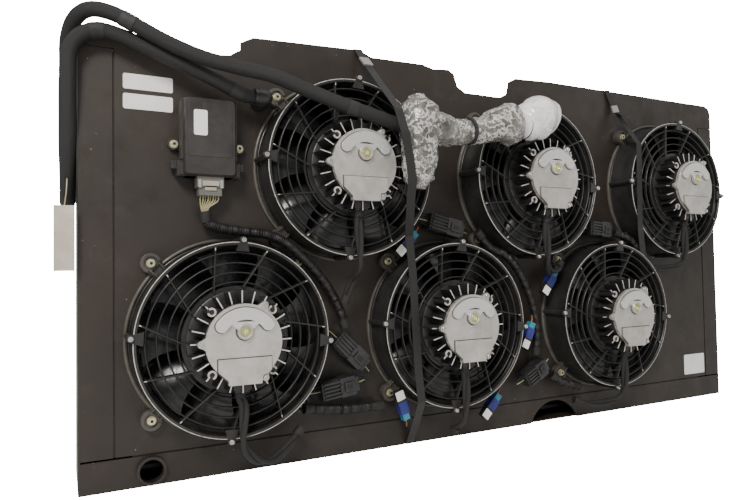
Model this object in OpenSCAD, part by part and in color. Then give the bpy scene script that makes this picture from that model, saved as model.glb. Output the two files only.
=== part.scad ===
// Six-fan oil cooling pack: a bar-and-plate cooler core in a folded steel frame, with a
// front shroud panel that carries six electric axial fans in two staggered rows.
// X runs to the right as seen from the fan side, -Y is the fan side and Z is up.
// The origin is in the middle of the frame's base.

/* [Frame] */
// overall width of the frame
frame_w = 1466; // [1200:1:1800]
// height of the bottom rail's front strip
rail_h = 47; // [30:1:80]
// height of the shroud panel's top edge
panel_top = 673; // [560:1:760]
// height of the top flange's highest edge
flange_top = 731; // [690:1:820]
// depth of the frame behind the panel's front plane
frame_d = 150; // [100:1:220]
// thickness of the folded steel sheet
sheet_t = 3; // [1.5:0.5:5]
// width of the side posts' front strips
post_w = 48; // [30:1:80]

/* [Fans] */
// distance between neighbouring fans of one row
fan_pitch = 412.5; // [360:0.5:480]
// height of the lower row's fan axes
row_low_z = 222; // [180:0.5:260]
// height of the upper row's fan axes
row_high_z = 502.5; // [440:0.5:560]
// middle fan of the lower row, from the frame's middle
row_low_x = -99; // [-200:0.5:0]
// middle fan of the upper row, from the frame's middle
row_high_x = 105; // [0:0.5:200]
// outer radius of the guard's rim
guard_r = 152; // [130:1:180]
// radius of the fan's blade tips
blade_tip_r = 139; // [110:1:160]
// number of blades on each impeller
blade_count = 9; // [5:1:13]
// number of cooling fins on each motor
fin_count = 24; // [12:1:36]
// number of slanted spokes in each guard
spoke_count = 11; // [7:1:15]
// turn of the guard on its housing, clockwise
guard_turn = 4; // [0:0.5:10]

/* [Cooler core] */
// number of flat oil tubes
tube_count = 20; // [10:1:30]
// thickness of one oil tube
tube_t = 7; // [4:0.5:12]
// depth of the core
core_d = 76; // [40:1:110]
// bore of the oil ports
port_bore = 25; // [15:1:40]

/* [Cables and packing] */
// diameter of the main loom
loom_d = 23; // [18:1:30]
// diameter of the fixed harness
harness_d = 18; // [12:1:24]
// diameter of each fan's lead
lead_d = 12; // [8:1:18]
// width of the packing straps
strap_w = 16; // [10:1:25]
// thickness of the packing straps
strap_t = 0.8; // [0.4:0.1:1.5]

/* [Hidden] */

half_w = frame_w / 2;
groove = 3;
rebate_w = 24;
fan_count = 6;

// colours of the parts, as [r, g, b]
brown_paint = [0.20, 0.17, 0.15];
black_plastic = [0.06, 0.06, 0.065];
bare_alloy = [0.72, 0.70, 0.67];
zinc_yellow = [0.75, 0.68, 0.42];
bright_steel = [0.7, 0.7, 0.72];
copper = [0.6, 0.35, 0.2];
grey_plastic = [0.32, 0.31, 0.30];
blue_plastic = [0.10, 0.13, 0.45];
white_paper = [0.9, 0.9, 0.88];
clear_wrap = [0.75, 0.76, 0.76];

// fan levels, measured towards the viewer from the panel's front plane
flange_h = 5;
drum_h = 56;
rim_top = 64;
ring_top = 62;
spoke_bottom = 50;
blade_low = 6;
blade_high = 40;
cup_top = 46;
base_top = 60;
can_top = 100;
cover_top = 108;

// fan radii
flange_r = 160;
drum_r = 150.5;
duct_r = 141;
hole_r = 146;
ear_r = 170;
ear_tip_r = 16;
rim_w = 6;
tab_r = 155;
hub_ring_r = 84;
base_r = 77;
can_r = 58;
cup_r = 62;
tube_r = 17;
bearing_r = 14;
shaft_r = 6;
shaft_gap = 0.05;
cover_screw_r = 63;
boss_r = 65;
plug_z = 16.5;
ear_angles = [45, 135, 225, 315];
cover_screw_angles = [60, 180, 300];
guard_ring_radii = [135, 119, 104, 89];
tab_angles = [for (a = [0:90:270]) a - guard_turn];

// places of the fans, the lower row first
function fan_x(i) = i < 3 ? row_low_x + (i - 1) * fan_pitch : row_high_x + (i - 4) * fan_pitch;
function fan_z(i) = i < 3 ? row_low_z : row_high_z;

// moves its children from the panel's front plane at y = 0 to their place over the base
module seated() {
  translate([0, -frame_d / 2, 0]) children();
}

// draws its children on fan i, with local z pointing out of the panel and local y up
module at_fan(i) {
  translate([fan_x(i), 0, fan_z(i)]) rotate([90, 0, 0]) children();
}

// draws its children at radius r and angle a around a fan's axis
module around(r, a) {
  rotate([0, 0, a]) translate([r, 0, 0]) children();
}

// unit vector and frame functions for swept cords
function unit(v) = v / norm(v);
function tangent(p, i) =
  i == 0 ? unit(p[1] - p[0]) :
  i == len(p) - 1 ? unit(p[i] - p[i - 1]) : unit(unit(p[i + 1] - p[i]) + unit(p[i] - p[i - 1]));
function side_of(n, t) = unit(n - (n * t) * t);
function normals(p, i, n) =
  i == len(p) ? [] : let (s = side_of(n, tangent(p, i))) concat([s], normals(p, i + 1, s));

// round body along the points p, of the diameters d, with sides flat faces round it
module swept_bag(p, d, sides) {
  count = len(p);
  first = abs(tangent(p, 0)[1]) < 0.8 ? [0, 1, 0] : [1, 0, 0];
  ns = normals(p, 0, first);
  points = [for (i = [0:count - 1]) for (k = [0:sides - 1])
    let (t = tangent(p, i), a = 360 * k / sides)
    p[i] + d[i] / 2 * (cos(a) * ns[i] + sin(a) * cross(t, ns[i]))];
  walls = [for (i = [0:count - 2]) for (k = [0:sides - 1])
    let (a = i * sides + k, b = i * sides + (k + 1) % sides)
    [a, b, b + sides, a + sides]];
  start_cap = [[for (k = [sides - 1:-1:0]) k]];
  end_cap = [[for (k = [0:sides - 1]) (count - 1) * sides + k]];
  // faces are turned so that they read clockwise from outside
  polyhedron(points, [for (f = concat(walls, start_cap, end_cap))
    [for (k = [len(f) - 1:-1:0]) f[k]]], convexity = 6);
}

// round tube of diameter d along the points p
module swept_tube(p, d, sides = 8) {
  swept_bag(p, [for (q = p) d], sides);
}

// flat band of width w and thickness t, lying across X, through the points p as [x, y, z]
module swept_band(p, w, t) {
  count = len(p);
  points = [for (i = [0:count - 1])
    let (d = tangent(p, i), n = unit(cross([1, 0, 0], d)))
    for (s = [[-1, -1], [1, -1], [1, 1], [-1, 1]])
    p[i] + [s[0] * w / 2, 0, 0] + s[1] * t / 2 * n];
  walls = [for (i = [0:count - 2]) for (k = [0:3])
    [i * 4 + k, i * 4 + (k + 1) % 4, (i + 1) * 4 + (k + 1) % 4, (i + 1) * 4 + k]];
  caps = [[3, 2, 1, 0], [for (k = [0:3]) (count - 1) * 4 + k]];
  polyhedron(points, [for (f = concat(walls, caps)) [for (k = [3:-1:0]) f[k]]], convexity = 6);
}

/* ---- frame ---- */

panel_left = -half_w + post_w + groove;
panel_right = half_w - post_w - groove;
panel_low = rail_h + groove;
// left end of the rails' rebates, just inside the posts' rebates
rebate_left = panel_left + rebate_w;

module shroud_panel() {
  color(brown_paint) seated() difference() {
    translate([panel_left, 0, panel_low])
      cube([panel_right - panel_left, sheet_t, panel_top - panel_low]);
    for (i = [0:fan_count - 1]) at_fan(i) {
      translate([0, 0, -sheet_t - 1]) cylinder(r = hole_r, h = sheet_t + 2, $fn = 96);
      for (a = ear_angles) around(ear_r, a)
        translate([0, 0, -sheet_t - 1]) cylinder(r = 3.1, h = sheet_t + 2, $fn = 24);
    }
    for (p = controller_bolts) translate([p[0], -1, p[1]]) rotate([-90, 0, 0])
      cylinder(r = 3.1, h = sheet_t + 2, $fn = 24);
  }
}

// depth of the posts' rear lips
lip_w = 45;

// section of a post, drawn for the left side: front strip, rebate, side web and rear lip
post_section = [
  [-half_w, 0], [-half_w + post_w, 0], [-half_w + post_w, sheet_t],
  [-half_w + post_w + rebate_w, sheet_t], [-half_w + post_w + rebate_w, 2 * sheet_t],
  [-half_w + sheet_t, 2 * sheet_t], [-half_w + sheet_t, frame_d - sheet_t],
  [-half_w + lip_w, frame_d - sheet_t], [-half_w + lip_w, frame_d], [-half_w, frame_d]];
mount_hole_z = [200, 460];
port_z = [120, 560];

module left_post() {
  color(brown_paint) seated() difference() {
    translate([0, 0, rail_h + groove]) linear_extrude(panel_top - rail_h - 2 * groove + 2)
      polygon(post_section);
    for (z = mount_hole_z) translate([-half_w + 30, frame_d - sheet_t - 1, z])
      rotate([-90, 0, 0]) cylinder(d = 11, h = sheet_t + 2, $fn = 32);
    // notches in the rear lip, behind the oil ports
    for (z = port_z) translate([-half_w + sheet_t, frame_d - sheet_t - 1, z - 26])
      cube([lip_w, sheet_t + 2, 52]);
  }
}

module right_post() {
  mirror([1, 0, 0]) left_post();
}

// outline of the top flange, with its raised end tab, two small steps and the deep notch
flange_outline = [
  [-half_w, panel_top], [-half_w, 699], [-532, 685], [-504, 688], [-486, 700], [-486, 712],
  [-464, 724], [-290, 731], [-262, 731], [-240, 722], [-128, 724], [-104, 718], [-70, 722],
  [-56, 714], [-48, 690], [-30, 680], [58, 680], [76, 690], [82, 716], [100, 725],
  [190, 729], [half_w - 20, flange_top], [half_w - 6, flange_top - 6],
  [half_w, flange_top - 20], [half_w, panel_top]];

module top_rail() {
  color(brown_paint) seated() {
    translate([0, sheet_t, 0]) rotate([90, 0, 0])
      linear_extrude(sheet_t) polygon(flange_outline);
    translate([-half_w, 0, panel_top]) cube([frame_w, frame_d, sheet_t]);
    translate([-half_w + lip_w + 1, frame_d - sheet_t, panel_top - 30])
      cube([frame_w - 2 * lip_w - 2, sheet_t, 32]);
    translate([rebate_left, sheet_t, panel_top - rebate_w])
      cube([-2 * rebate_left, sheet_t, rebate_w + 1]);
  }
}

drain_x = -631;
drain_z = 24;
cutout_x = 185;
left_strap_x = -174;

module bottom_rail() {
  color(brown_paint) seated() difference() {
    union() {
      translate([-half_w, 0, 0]) cube([frame_w, sheet_t, rail_h]);
      translate([-half_w, 0, 0]) cube([frame_w, frame_d, sheet_t]);
      translate([-half_w, frame_d - sheet_t, 0]) cube([frame_w, sheet_t, rail_h + groove]);
      for (s = [-1, 1]) translate([s * (half_w - sheet_t / 2) - sheet_t / 2, 0, 0])
        cube([sheet_t, frame_d, rail_h + groove]);
      translate([rebate_left, sheet_t, sheet_t - 1])
        cube([-2 * rebate_left, sheet_t, rail_h + rebate_w]);
      translate([drain_x, 0, drain_z]) rotate([90, 0, 0]) cylinder(d = 44, h = 8, $fn = 48);
    }
    translate([drain_x, 20, drain_z]) rotate([90, 0, 0]) cylinder(d = 35, h = 40, $fn = 48);
    translate([cutout_x, sheet_t, -28]) rotate([90, 0, 0])
      cylinder(r = 70, h = 2 * sheet_t, $fn = 64, center = true);
    translate([left_strap_x - 10, -1, -1]) cube([20, frame_d + 2, 2]);
  }
}

/* ---- cooler core ---- */

core_y = 44;
tank_w = 52;
core_left = -half_w + sheet_t + 3 + tank_w;
core_low = 14;
core_high = panel_top - 14;
core_w = -2 * core_left;
tube_pitch = (core_high - core_low - tube_t) / (tube_count - 1);
fin_teeth = 44;

module core_tubes() {
  color(bare_alloy) seated() for (k = [0:tube_count - 1])
    translate([core_left, core_y, core_low + k * tube_pitch]) difference() {
      cube([core_w, core_d, tube_t]);
      translate([-1, 3, 1.5]) cube([core_w + 2, core_d - 6, tube_t - 3]);
    }
}

// one folded fin strip, as tall as the gap between two tubes
module fin_strip() {
  gap = tube_pitch - tube_t;
  step = core_w / fin_teeth;
  strip_t = 1.6;
  top = [for (k = [0:fin_teeth]) [k * step, k % 2 == 0 ? strip_t : gap]];
  low = [for (k = [fin_teeth:-1:0]) [k * step, k % 2 == 0 ? 0 : gap - strip_t]];
  rotate([90, 0, 0]) linear_extrude(core_d) polygon(concat(top, low));
}

module core_fins() {
  color(bare_alloy) seated() for (k = [0:tube_count - 2])
    translate([core_left, core_y + core_d, core_low + tube_t + k * tube_pitch]) fin_strip();
}

// hollow header tank with two rear oil ports, drawn for the left side
module header_tank() {
  difference() {
    union() {
      translate([core_left - tank_w, core_y, core_low])
        cube([tank_w, core_d, core_high - core_low]);
      for (z = port_z) translate([core_left - tank_w / 2, core_y + core_d, z])
        rotate([-90, 0, 0]) cylinder(d = port_bore + 16, h = 26, $fn = 48);
    }
    translate([core_left - tank_w + 4, core_y + 4, core_low + 4])
      cube([tank_w - 3, core_d - 8, core_high - core_low - 8]);
    for (z = port_z) translate([core_left - tank_w / 2, core_y + core_d - 5, z])
      rotate([-90, 0, 0]) cylinder(d = port_bore, h = 40, $fn = 48);
  }
}

module header_tank_left() {
  color(bare_alloy) seated() header_tank();
}

module header_tank_right() {
  color(bare_alloy) seated() mirror([1, 0, 0]) header_tank();
}

/* ---- fans ---- */

module fan_housing(i) {
  color(black_plastic) seated() at_fan(i) difference() {
    union() {
      cylinder(r = flange_r, h = flange_h, $fn = 96);
      rotate([0, 0, 20]) cylinder(r = drum_r, h = drum_h, $fn = 96);
      for (a = ear_angles) {
        around(ear_r, a) cylinder(r = ear_tip_r, h = 12, $fn = 48);
        around(drum_r, a) translate([-2, -13, 0]) cube([ear_r - drum_r + 2, 26, 9]);
      }
      for (a = tab_angles) around(tab_r - 1, a)
        translate([0, 0, 12]) cylinder(r = 5.5, h = drum_h - 12, $fn = 24);
    }
    translate([0, 0, -1]) cylinder(r = duct_r, h = drum_h, $fn = 96);
    translate([0, 0, 44]) cylinder(r = hole_r, h = drum_h, $fn = 96);
    for (a = ear_angles) around(ear_r, a)
      translate([0, 0, -1]) cylinder(r = 3.1, h = 14, $fn = 24);
    for (a = tab_angles) around(tab_r, a)
      translate([0, 0, drum_h - 14]) cylinder(r = 2.1, h = 15, $fn = 24);
  }
}

spoke_offset = 38;
spoke_in = sqrt(pow(hub_ring_r - 3, 2) - pow(spoke_offset, 2));
spoke_out = sqrt(pow(guard_r - rim_w + 2, 2) - pow(spoke_offset, 2));
spoke_low_out = sqrt(pow(hole_r - 2, 2) - pow(spoke_offset, 2));
spoke_lead = atan(spoke_offset / spoke_out);

module fan_guard(i) {
  color(black_plastic) seated() at_fan(i) difference() {
    union() {
      rotate_extrude($fn = 96) translate([guard_r - rim_w, drum_h])
        square([rim_w, rim_top - drum_h]);
      for (r = guard_ring_radii) rotate_extrude($fn = 72) translate([r - 1.5, drum_h])
        square([3, ring_top - drum_h]);
      rotate_extrude($fn = 72) translate([base_r - 9, spoke_bottom])
        square([hub_ring_r - base_r + 9, drum_h - spoke_bottom]);
      for (k = [0:spoke_count - 1])
        rotate([0, 0, 4.5 + 360 * k / spoke_count - spoke_lead])
        translate([spoke_in, spoke_offset - 1.5, 0]) {
          translate([0, 0, spoke_bottom])
            cube([spoke_low_out - spoke_in, 3, ring_top - spoke_bottom]);
          translate([0, 0, drum_h + 0.5])
            cube([spoke_out - spoke_in, 3, ring_top - drum_h - 0.5]);
        }
      for (a = tab_angles) {
        around(tab_r, a) translate([0, 0, drum_h]) cylinder(r = 6, h = 9, $fn = 24);
        rotate([0, 0, a]) translate([0, 0, drum_h]) linear_extrude(rim_top + 0.5 - drum_h)
          polygon([[tab_r, -5], [guard_r - 15, -10.5], [guard_r - 15, 10.5], [tab_r, 5]]);
      }
    }
    for (a = tab_angles) around(tab_r, a)
      translate([0, 0, drum_h - 1]) cylinder(r = 2.1, h = 12, $fn = 24);
    translate([0, 0, drum_h]) cylinder(r = base_r + 0.2, h = 10, $fn = 72);
  }
}

// distance of the cable exit's face from the fan's axis
exit_y = base_r + 0.5;

module motor_body(i) {
  color(black_plastic) seated() at_fan(i) difference() {
    union() {
      translate([0, 0, drum_h]) cylinder(r = base_r, h = base_top - drum_h, $fn = 72);
      translate([0, 0, 10]) cylinder(r = tube_r, h = base_top - 10, $fn = 48);
      cylinder_at(base_top, can_r, can_top - base_top);
      for (k = [0:fin_count - 1]) rotate([0, 0, 360 * k / fin_count])
        translate([can_r - 1, -1, base_top - 1]) cube([base_r - can_r, 2, 35]);
      for (a = ear_angles) around(boss_r, a)
        translate([0, 0, base_top - 1]) cylinder(r = 7, h = 38, $fn = 32);
      for (a = cover_screw_angles) around(cover_screw_r, a)
        translate([0, 0, base_top - 1]) cylinder(r = 5.5, h = can_top - base_top + 1, $fn = 32);
      translate([-14, -exit_y, base_top - 1]) cube([28, 24, 33]);
    }
    translate([0, 0, base_top + 2]) cylinder(r = can_r - 4, h = 60, $fn = 72);
    translate([0, 0, 0]) cylinder(r = bearing_r, h = base_top - 4, $fn = 48);
    for (a = ear_angles) around(boss_r, a)
      translate([0, 0, base_top + 20]) cylinder(r = 3.4, h = 30, $fn = 24);
    for (a = cover_screw_angles) around(cover_screw_r, a)
      translate([0, 0, can_top - 12]) cylinder(r = 2, h = 20, $fn = 24);
  }
}

// plain upright cylinder that starts at height z
module cylinder_at(z, r, h) {
  translate([0, 0, z]) cylinder(r = r, h = h, $fn = 72);
}

module motor_cover(i) {
  color(bare_alloy) seated() at_fan(i) difference() {
    union() {
      cylinder_at(can_top, can_r, cover_top - can_top);
      for (a = cover_screw_angles) around(cover_screw_r, a) translate([0, 0, can_top])
        cylinder(r = 5.5, h = cover_top - can_top - 1, $fn = 32);
      translate([0, 0, can_top]) linear_extrude(cover_top - can_top + 2) polygon([
        [-40, -23], [40, -23], [40, -42], [27, -62], [-25, -62], [-25, -55], [-40, -41]]);
      translate([0, 0, cover_top - 1]) linear_extrude(5) difference() {
        intersection() {
          circle(r = 53, $fn = 72);
          polygon([[0, 0], [-60, 42], [-60, 70], [60, 70], [60, 42]]);
        }
        circle(r = 33, $fn = 72);
      }
      translate([0, plug_z, cover_top - 1]) cylinder(r = 12, h = 6, $fn = 48);
      translate([0, 0, cover_top - 1]) linear_extrude(5)
        polygon([[-18, 34], [18, 34], [9, 12], [-9, 12]]);
    }
    for (a = cover_screw_angles) around(cover_screw_r, a)
      translate([0, 0, can_top - 1]) cylinder(r = 2.1, h = 12, $fn = 24);
    for (a = cover_screw_angles) around(cover_screw_r, a)
      translate([0, 0, cover_top - 1]) cylinder(r = 4.6, h = 8, $fn = 32);
    translate([0, plug_z, cover_top - 3]) cylinder(r = 7.5, h = 12, $fn = 32);
  }
}

blade_t = 3;
blade_tilt = 24;

module impeller(i) {
  color(black_plastic) seated() at_fan(i) {
    difference() {
      union() {
        cylinder_at(4, cup_r, cup_top - 4);
        cylinder_at(4, 12, 3);
      }
      translate([0, 0, 7]) cylinder(r = cup_r - 3, h = 60, $fn = 72);
      cylinder(r = shaft_r, h = 40, $fn = 32);
    }
    intersection() {
      difference() {
        cylinder_at(blade_low, blade_tip_r, blade_high - blade_low);
        cylinder_at(0, cup_r - 1, 60);
      }
      for (k = [0:blade_count - 1]) rotate([0, 0, 360 * k / blade_count])
        translate([0, 0, (blade_low + blade_high) / 2]) rotate([blade_tilt, 0, 0])
        translate([0, 0, -blade_t / 2]) linear_extrude(blade_t) polygon([
          [cup_r - 5, -24], [blade_tip_r - 8, -43], [blade_tip_r + 12, -34],
          [blade_tip_r + 12, 46], [cup_r - 5, 20]]);
    }
  }
}

module rotor_shaft(i) {
  color(bright_steel) seated() at_fan(i) translate([0, 0, 4])
    cylinder(r = shaft_r, h = drum_h - 6, $fn = 32);
}

stator_low = 14;
stator_high = 42;

module motor_stators() {
  color(copper) seated() for (i = [0:fan_count - 1]) at_fan(i) translate([0, 0, stator_low])
    linear_extrude(stator_high - stator_low) difference() {
      union() {
        circle(r = 26, $fn = 48);
        for (k = [0:11]) rotate([0, 0, 30 * k]) {
          translate([20, -3.5]) square([32, 7]);
          translate([48, -9]) square([6, 18]);
        }
      }
      circle(r = tube_r + 0.1, $fn = 48);
    }
}

module motor_bearings() {
  color(bright_steel) seated() for (i = [0:fan_count - 1]) at_fan(i) for (z = [12, 42])
    translate([0, 0, z]) difference() {
      cylinder(r = bearing_r, h = 9, $fn = 48);
      translate([0, 0, -1]) cylinder(r = shaft_r + shaft_gap, h = 11, $fn = 32);
    }
}

/* ---- controller, fasteners and labels ---- */

case_x = -545;
case_w = 82;
case_low = 478;
case_high = 602;
case_h = 40;
controller_bolts = [[-596, 530], [-492, 530]];

module controller_case() {
  color(black_plastic) seated() difference() {
    union() {
      translate([case_x - case_w / 2, -case_h, case_low])
        cube([case_w, case_h, case_high - case_low]);
      translate([case_x - case_w / 2 - 8, -28, case_low]) cube([case_w + 16, 28, 24]);
      for (k = [0:1]) translate([case_x - case_w / 2 - 6, -30 + 9 * k, case_low + 26])
        cube([8, 5, 94]);
      for (p = controller_bolts) {
        translate([p[0], 0, p[1]]) rotate([90, 0, 0]) cylinder(r = 9, h = 8, $fn = 32);
        translate([min(p[0], case_x), -8, p[1] - 9]) cube([abs(p[0] - case_x), 8, 18]);
      }
      for (s = [-1, 1]) translate([case_x + s * 53 - 5, -18, case_low + 12])
        cube([10, 12, 14]);
    }
    for (p = controller_bolts) translate([p[0], 1, p[1]]) rotate([90, 0, 0])
      cylinder(r = 3.1, h = 10, $fn = 24);
  }
}

plug_x = -544;
plug_low = 448;

module controller_plug() {
  color(grey_plastic) seated() {
    translate([plug_x - 21, -34, case_low - 17]) cube([42, 24, 17]);
    translate([plug_x - 18, -32, plug_low]) cube([36, 20, 14]);
  }
}

// hexagon-head bolt with a washer, its head on height h, shank going back
module hex_bolt(h) {
  translate([0, 0, h]) cylinder(r = 7, h = 1.5, $fn = 32);
  translate([0, 0, h + 1.5]) cylinder(r = 6, h = 4.5, $fn = 6);
  translate([0, 0, h - 20]) cylinder(r = 3, h = 21, $fn = 24);
}

module hex_bolts() {
  color(zinc_yellow) seated() {
    for (i = [0:fan_count - 1]) at_fan(i) for (a = ear_angles) around(ear_r, a) hex_bolt(12);
    for (p = controller_bolts) translate([p[0], 0, p[1]]) rotate([90, 0, 0]) hex_bolt(8);
  }
}

// socket-head screw, its head on height h
module socket_screw(h, length) {
  difference() {
    union() {
      translate([0, 0, h]) cylinder(r = 3.8, h = 4, $fn = 32);
      translate([0, 0, h - length]) cylinder(r = 2, h = length + 1, $fn = 24);
    }
    translate([0, 0, h + 1.8]) cylinder(r = 1.9, h = 4, $fn = 6);
  }
}

module socket_screws() {
  color(bright_steel) seated() for (i = [0:fan_count - 1]) at_fan(i) {
    for (a = tab_angles) around(tab_r, a) socket_screw(drum_h + 9, 16);
    for (a = cover_screw_angles) around(cover_screw_r, a) socket_screw(cover_top - 1, 14);
    translate([0, plug_z, cover_top - 3]) difference() {
      cylinder(r = 7.5, h = 6, $fn = 32);
      translate([0, 0, 3]) cylinder(r = 3, h = 5, $fn = 6);
    }
  }
}

label_t = 0.4;
tag_x = -751;
tag_y = -12;

module paper_labels() {
  color(white_paper) seated() {
    for (z = [582, 613]) translate([-670, -label_t, z]) cube([74, label_t, 24]);
    translate([604, -label_t, 58]) cube([74, label_t, 48]);
    translate([-571, -case_h - label_t, 541]) cube([21, label_t, 40]);
    translate([-558, -case_h - label_t, 482]) cube([26, label_t, 38]);
    translate([tag_x - 14, tag_y, 332]) cube([28, 1, 96]);
  }
}

/* ---- cables, connectors and packing ---- */

trunk_route = [
  [-544, -22, 448], [-544, -22, 440], [-551, -21, 422], [-547, -19, 406], [-522, -18, 397], [-484, -19, 392],
  [-450, -28, 387], [-422, -34, 374], [-398, -34, 354], [-372, -30, 330], [-345, -24, 300],
  [-322, -20, 262], [-310, -20, 226]];
low_route = [[-392, -30, 96], [-340, -24, 88], [-290, -22, 84], [-240, -20, 84]];
mid_route = [[-30, -30, 398], [0, -32, 366], [34, -34, 352], [66, -26, 330], [94, -20, 296],
  [114, -20, 250], [124, -20, 200], [120, -20, 146]];
right_route = [[344, -28, 402], [392, -31, 385], [420, -31, 360], [452, -30, 338]];
end_route = [[154, -26, 104], [186, -28, 84], [230, -26, 72]];

module harness_trunk() {
  color(black_plastic) seated() for (p = [trunk_route, low_route, mid_route, right_route, end_route])
    swept_tube(p, harness_d);
}

// route of a fan's lead, from the motor's cable exit down over the guard's rim
lead_start = [[0, -exit_y, 76], [0, -exit_y - 8, 76]];
lead_ends = [
  [[6, -104, 76], [4, -150, 77], [12, -172, 74], [34, -192, 60], [62, -196, 48], [92, -176, 40],
    [112, -156, 36]],
  [[4, -104, 76], [2, -150, 77], [0, -176, 70], [-4, -196, 44]],
  [[0, -104, 76], [-4, -152, 77], [-16, -174, 70], [-40, -186, 52], [-72, -186, 42],
    [-104, -176, 32]],
  [[0, -104, 76], [2, -150, 77], [4, -174, 72], [0, -196, 46], [-12, -232, 38]],
  [[0, -104, 76], [2, -150, 77], [8, -172, 70], [30, -186, 54], [52, -182, 48], [68, -168, 40]],
  [[0, -104, 76], [-2, -150, 77], [-8, -172, 72], [-38, -184, 50], [-72, -182, 38]]];

module fan_leads() {
  color(black_plastic) seated() for (i = [0:fan_count - 1]) at_fan(i)
    swept_tube(concat(lead_start, lead_ends[i]), lead_d);
}

// ribbed multi-way connector of given length, turned by a in the panel's plane
module ribbed_connector(x, z, a, length) {
  translate([x, -38, z]) rotate([0, -a, 0]) {
    translate([-length / 2, 0, -16]) cube([length, 28, 32]);
    for (k = [0:2]) translate([-length / 2 + 6 + k * length / 4, -3, -18]) cube([8, 33, 36]);
  }
}

module harness_connectors() {
  color(black_plastic) seated() {
    ribbed_connector(-302, 184, -45, 74);
    ribbed_connector(-325, 124, 8, 70);
    ribbed_connector(-100, 408, -14, 78);
    ribbed_connector(303, 408, -4, 66);
    ribbed_connector(112, 112, 28, 62);
  }
}

// small blue plug with its label, turned by a in the panel's plane
module blue_plug(x, z, a) {
  translate([x, -40, z]) rotate([0, -a, 0]) translate([-29, 0, -9]) cube([58, 17, 18]);
}

module blue_plugs() {
  color(blue_plastic) seated() {
    blue_plug(-191, 374, 45);
    blue_plug(148, 294, 54);
    blue_plug(88, 189, 64);
    blue_plug(-206, 82, -72);
    blue_plug(-8, 58, 47);
  }
}

// right-angle boot through which the main loom comes out of the panel, by fan 4's upper ear
boot_x = -457;
boot_z = 612;
boot_h = 38;

module loom_boot() {
  color(black_plastic) seated() {
    translate([boot_x, 0, boot_z]) rotate([90, 0, 0]) cylinder(r = 14.5, h = 5, $fn = 48);
    translate([boot_x, 0, boot_z]) rotate([90, 0, 0]) cylinder(r = 13.5, h = boot_h, $fn = 48);
    translate([boot_x, -boot_h, boot_z]) sphere(r = 13.5, $fn = 48);
    translate([boot_x, -boot_h, boot_z]) rotate([0, -90, 0])
      cylinder(r = 13.5, h = 18, $fn = 48);
  }
}

loom_route = [
  [-475, -38, 612], [-488, -38, 612], [-512, -40, 620], [-540, -40, 632], [-575, -36, 647],
  [-610, -32, 660], [-645, -28, 674], [-676, -23, 686], [-704, -19, 691], [-729, -17, 681],
  [-744, -15, 657], [-746, -13, 620], [-746, -8, 580], [-745, -1, 545],
  [-746, 7, 512], [-746, 20, 478], [-746, 38, 452], [-746, 62, 441], [-746, 90, 448],
  [-746, 112, 472], [-747, 120, 507], [-748, 116, 546], [-748, 109, 586], [-748, 97, 624],
  [-747, 76, 660], [-746, 46, 693], [-737, 14, 714],
  [-718, -12, 723], [-690, -28, 717], [-660, -38, 702], [-611, -48, 677], [-560, -60, 657],
  [-508, -78, 643], [-460, -94, 632], [-410, -101, 615], [-358, -108, 598],
  [-305, -112, 584], [-250, -112, 572]];

module main_loom() {
  color(black_plastic) seated() swept_tube(loom_route, loom_d);
}

band_low = 0.1 + strap_t / 2;
band_back = frame_d + strap_t / 2;
left_band = [
  [-268, -1.2, 732.2], [-264, -14, 712], [-256, -128, 594], [-251, -142, 550],
  [-243, -143, 500], [-239, -142, 472], [-230, -120, 448], [-204, -66.5, 385],
  [-198, -66.5, 320], [-190, -66.5, 146], [-184, -66.5, 90], [-176, -30, 44],
  [left_strap_x, -2, band_low], [left_strap_x, band_back, band_low],
  [-240, band_back, 400], [-268, band_back, 676.8], [-268, 40, 690], [-268, 3, 732.4]];
right_band = [
  [366, band_back, 560], [366, band_back, 676.8], [366, 40, 690], [366, 3, 730.6],
  [366, -1.2, 730.4], [380, -10, 684], [386, -68, 596], [384, -67, 412], [416, -46, 352],
  [462, -8, 300], [486, -1.5, 240]];

module packing_straps() {
  color(black_plastic) seated() {
    swept_band(left_band, strap_w, strap_t);
    swept_band(right_band, strap_w, strap_t);
  }
}

// wrapped connector bundle: a hanging lobe, a long sleeve and a tied-off round end
lobe_route = [[-212, -118, 462], [-212, -118, 480], [-210, -118, 520], [-208, -114, 560],
  [-207, -110, 600], [-206, -106, 624]];
lobe_d = [24, 52, 66, 74, 70, 30];
sleeve_route = [[-215, -110, 572], [-160, -108, 571], [-130, -104, 570], [-70, -104, 577],
  [-40, -106, 588], [-12, -110, 592], [16, -110, 596], [34, -110, 602], [60, -111, 612],
  [84, -111, 614], [106, -110, 610]];
sleeve_d = [60, 58, 48, 50, 66, 84, 56, 76, 90, 72, 20];

module bubble_wrap() {
  color(clear_wrap) seated() {
    swept_bag(lobe_route, lobe_d, 16);
    swept_bag(sleeve_route, sleeve_d, 16);
  }
}

shroud_panel();
left_post();
right_post();
top_rail();
bottom_rail();
core_tubes();
core_fins();
header_tank_left();
header_tank_right();
fan_housing(0);  // fan_housing_1
fan_housing(1);  // fan_housing_2
fan_housing(2);  // fan_housing_3
fan_housing(3);  // fan_housing_4
fan_housing(4);  // fan_housing_5
fan_housing(5);  // fan_housing_6
fan_guard(0);  // fan_guard_1
fan_guard(1);  // fan_guard_2
fan_guard(2);  // fan_guard_3
fan_guard(3);  // fan_guard_4
fan_guard(4);  // fan_guard_5
fan_guard(5);  // fan_guard_6
motor_body(0);  // motor_body_1
motor_body(1);  // motor_body_2
motor_body(2);  // motor_body_3
motor_body(3);  // motor_body_4
motor_body(4);  // motor_body_5
motor_body(5);  // motor_body_6
motor_cover(0);  // motor_cover_1
motor_cover(1);  // motor_cover_2
motor_cover(2);  // motor_cover_3
motor_cover(3);  // motor_cover_4
motor_cover(4);  // motor_cover_5
motor_cover(5);  // motor_cover_6
impeller(0);  // impeller_1
impeller(1);  // impeller_2
impeller(2);  // impeller_3
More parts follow.
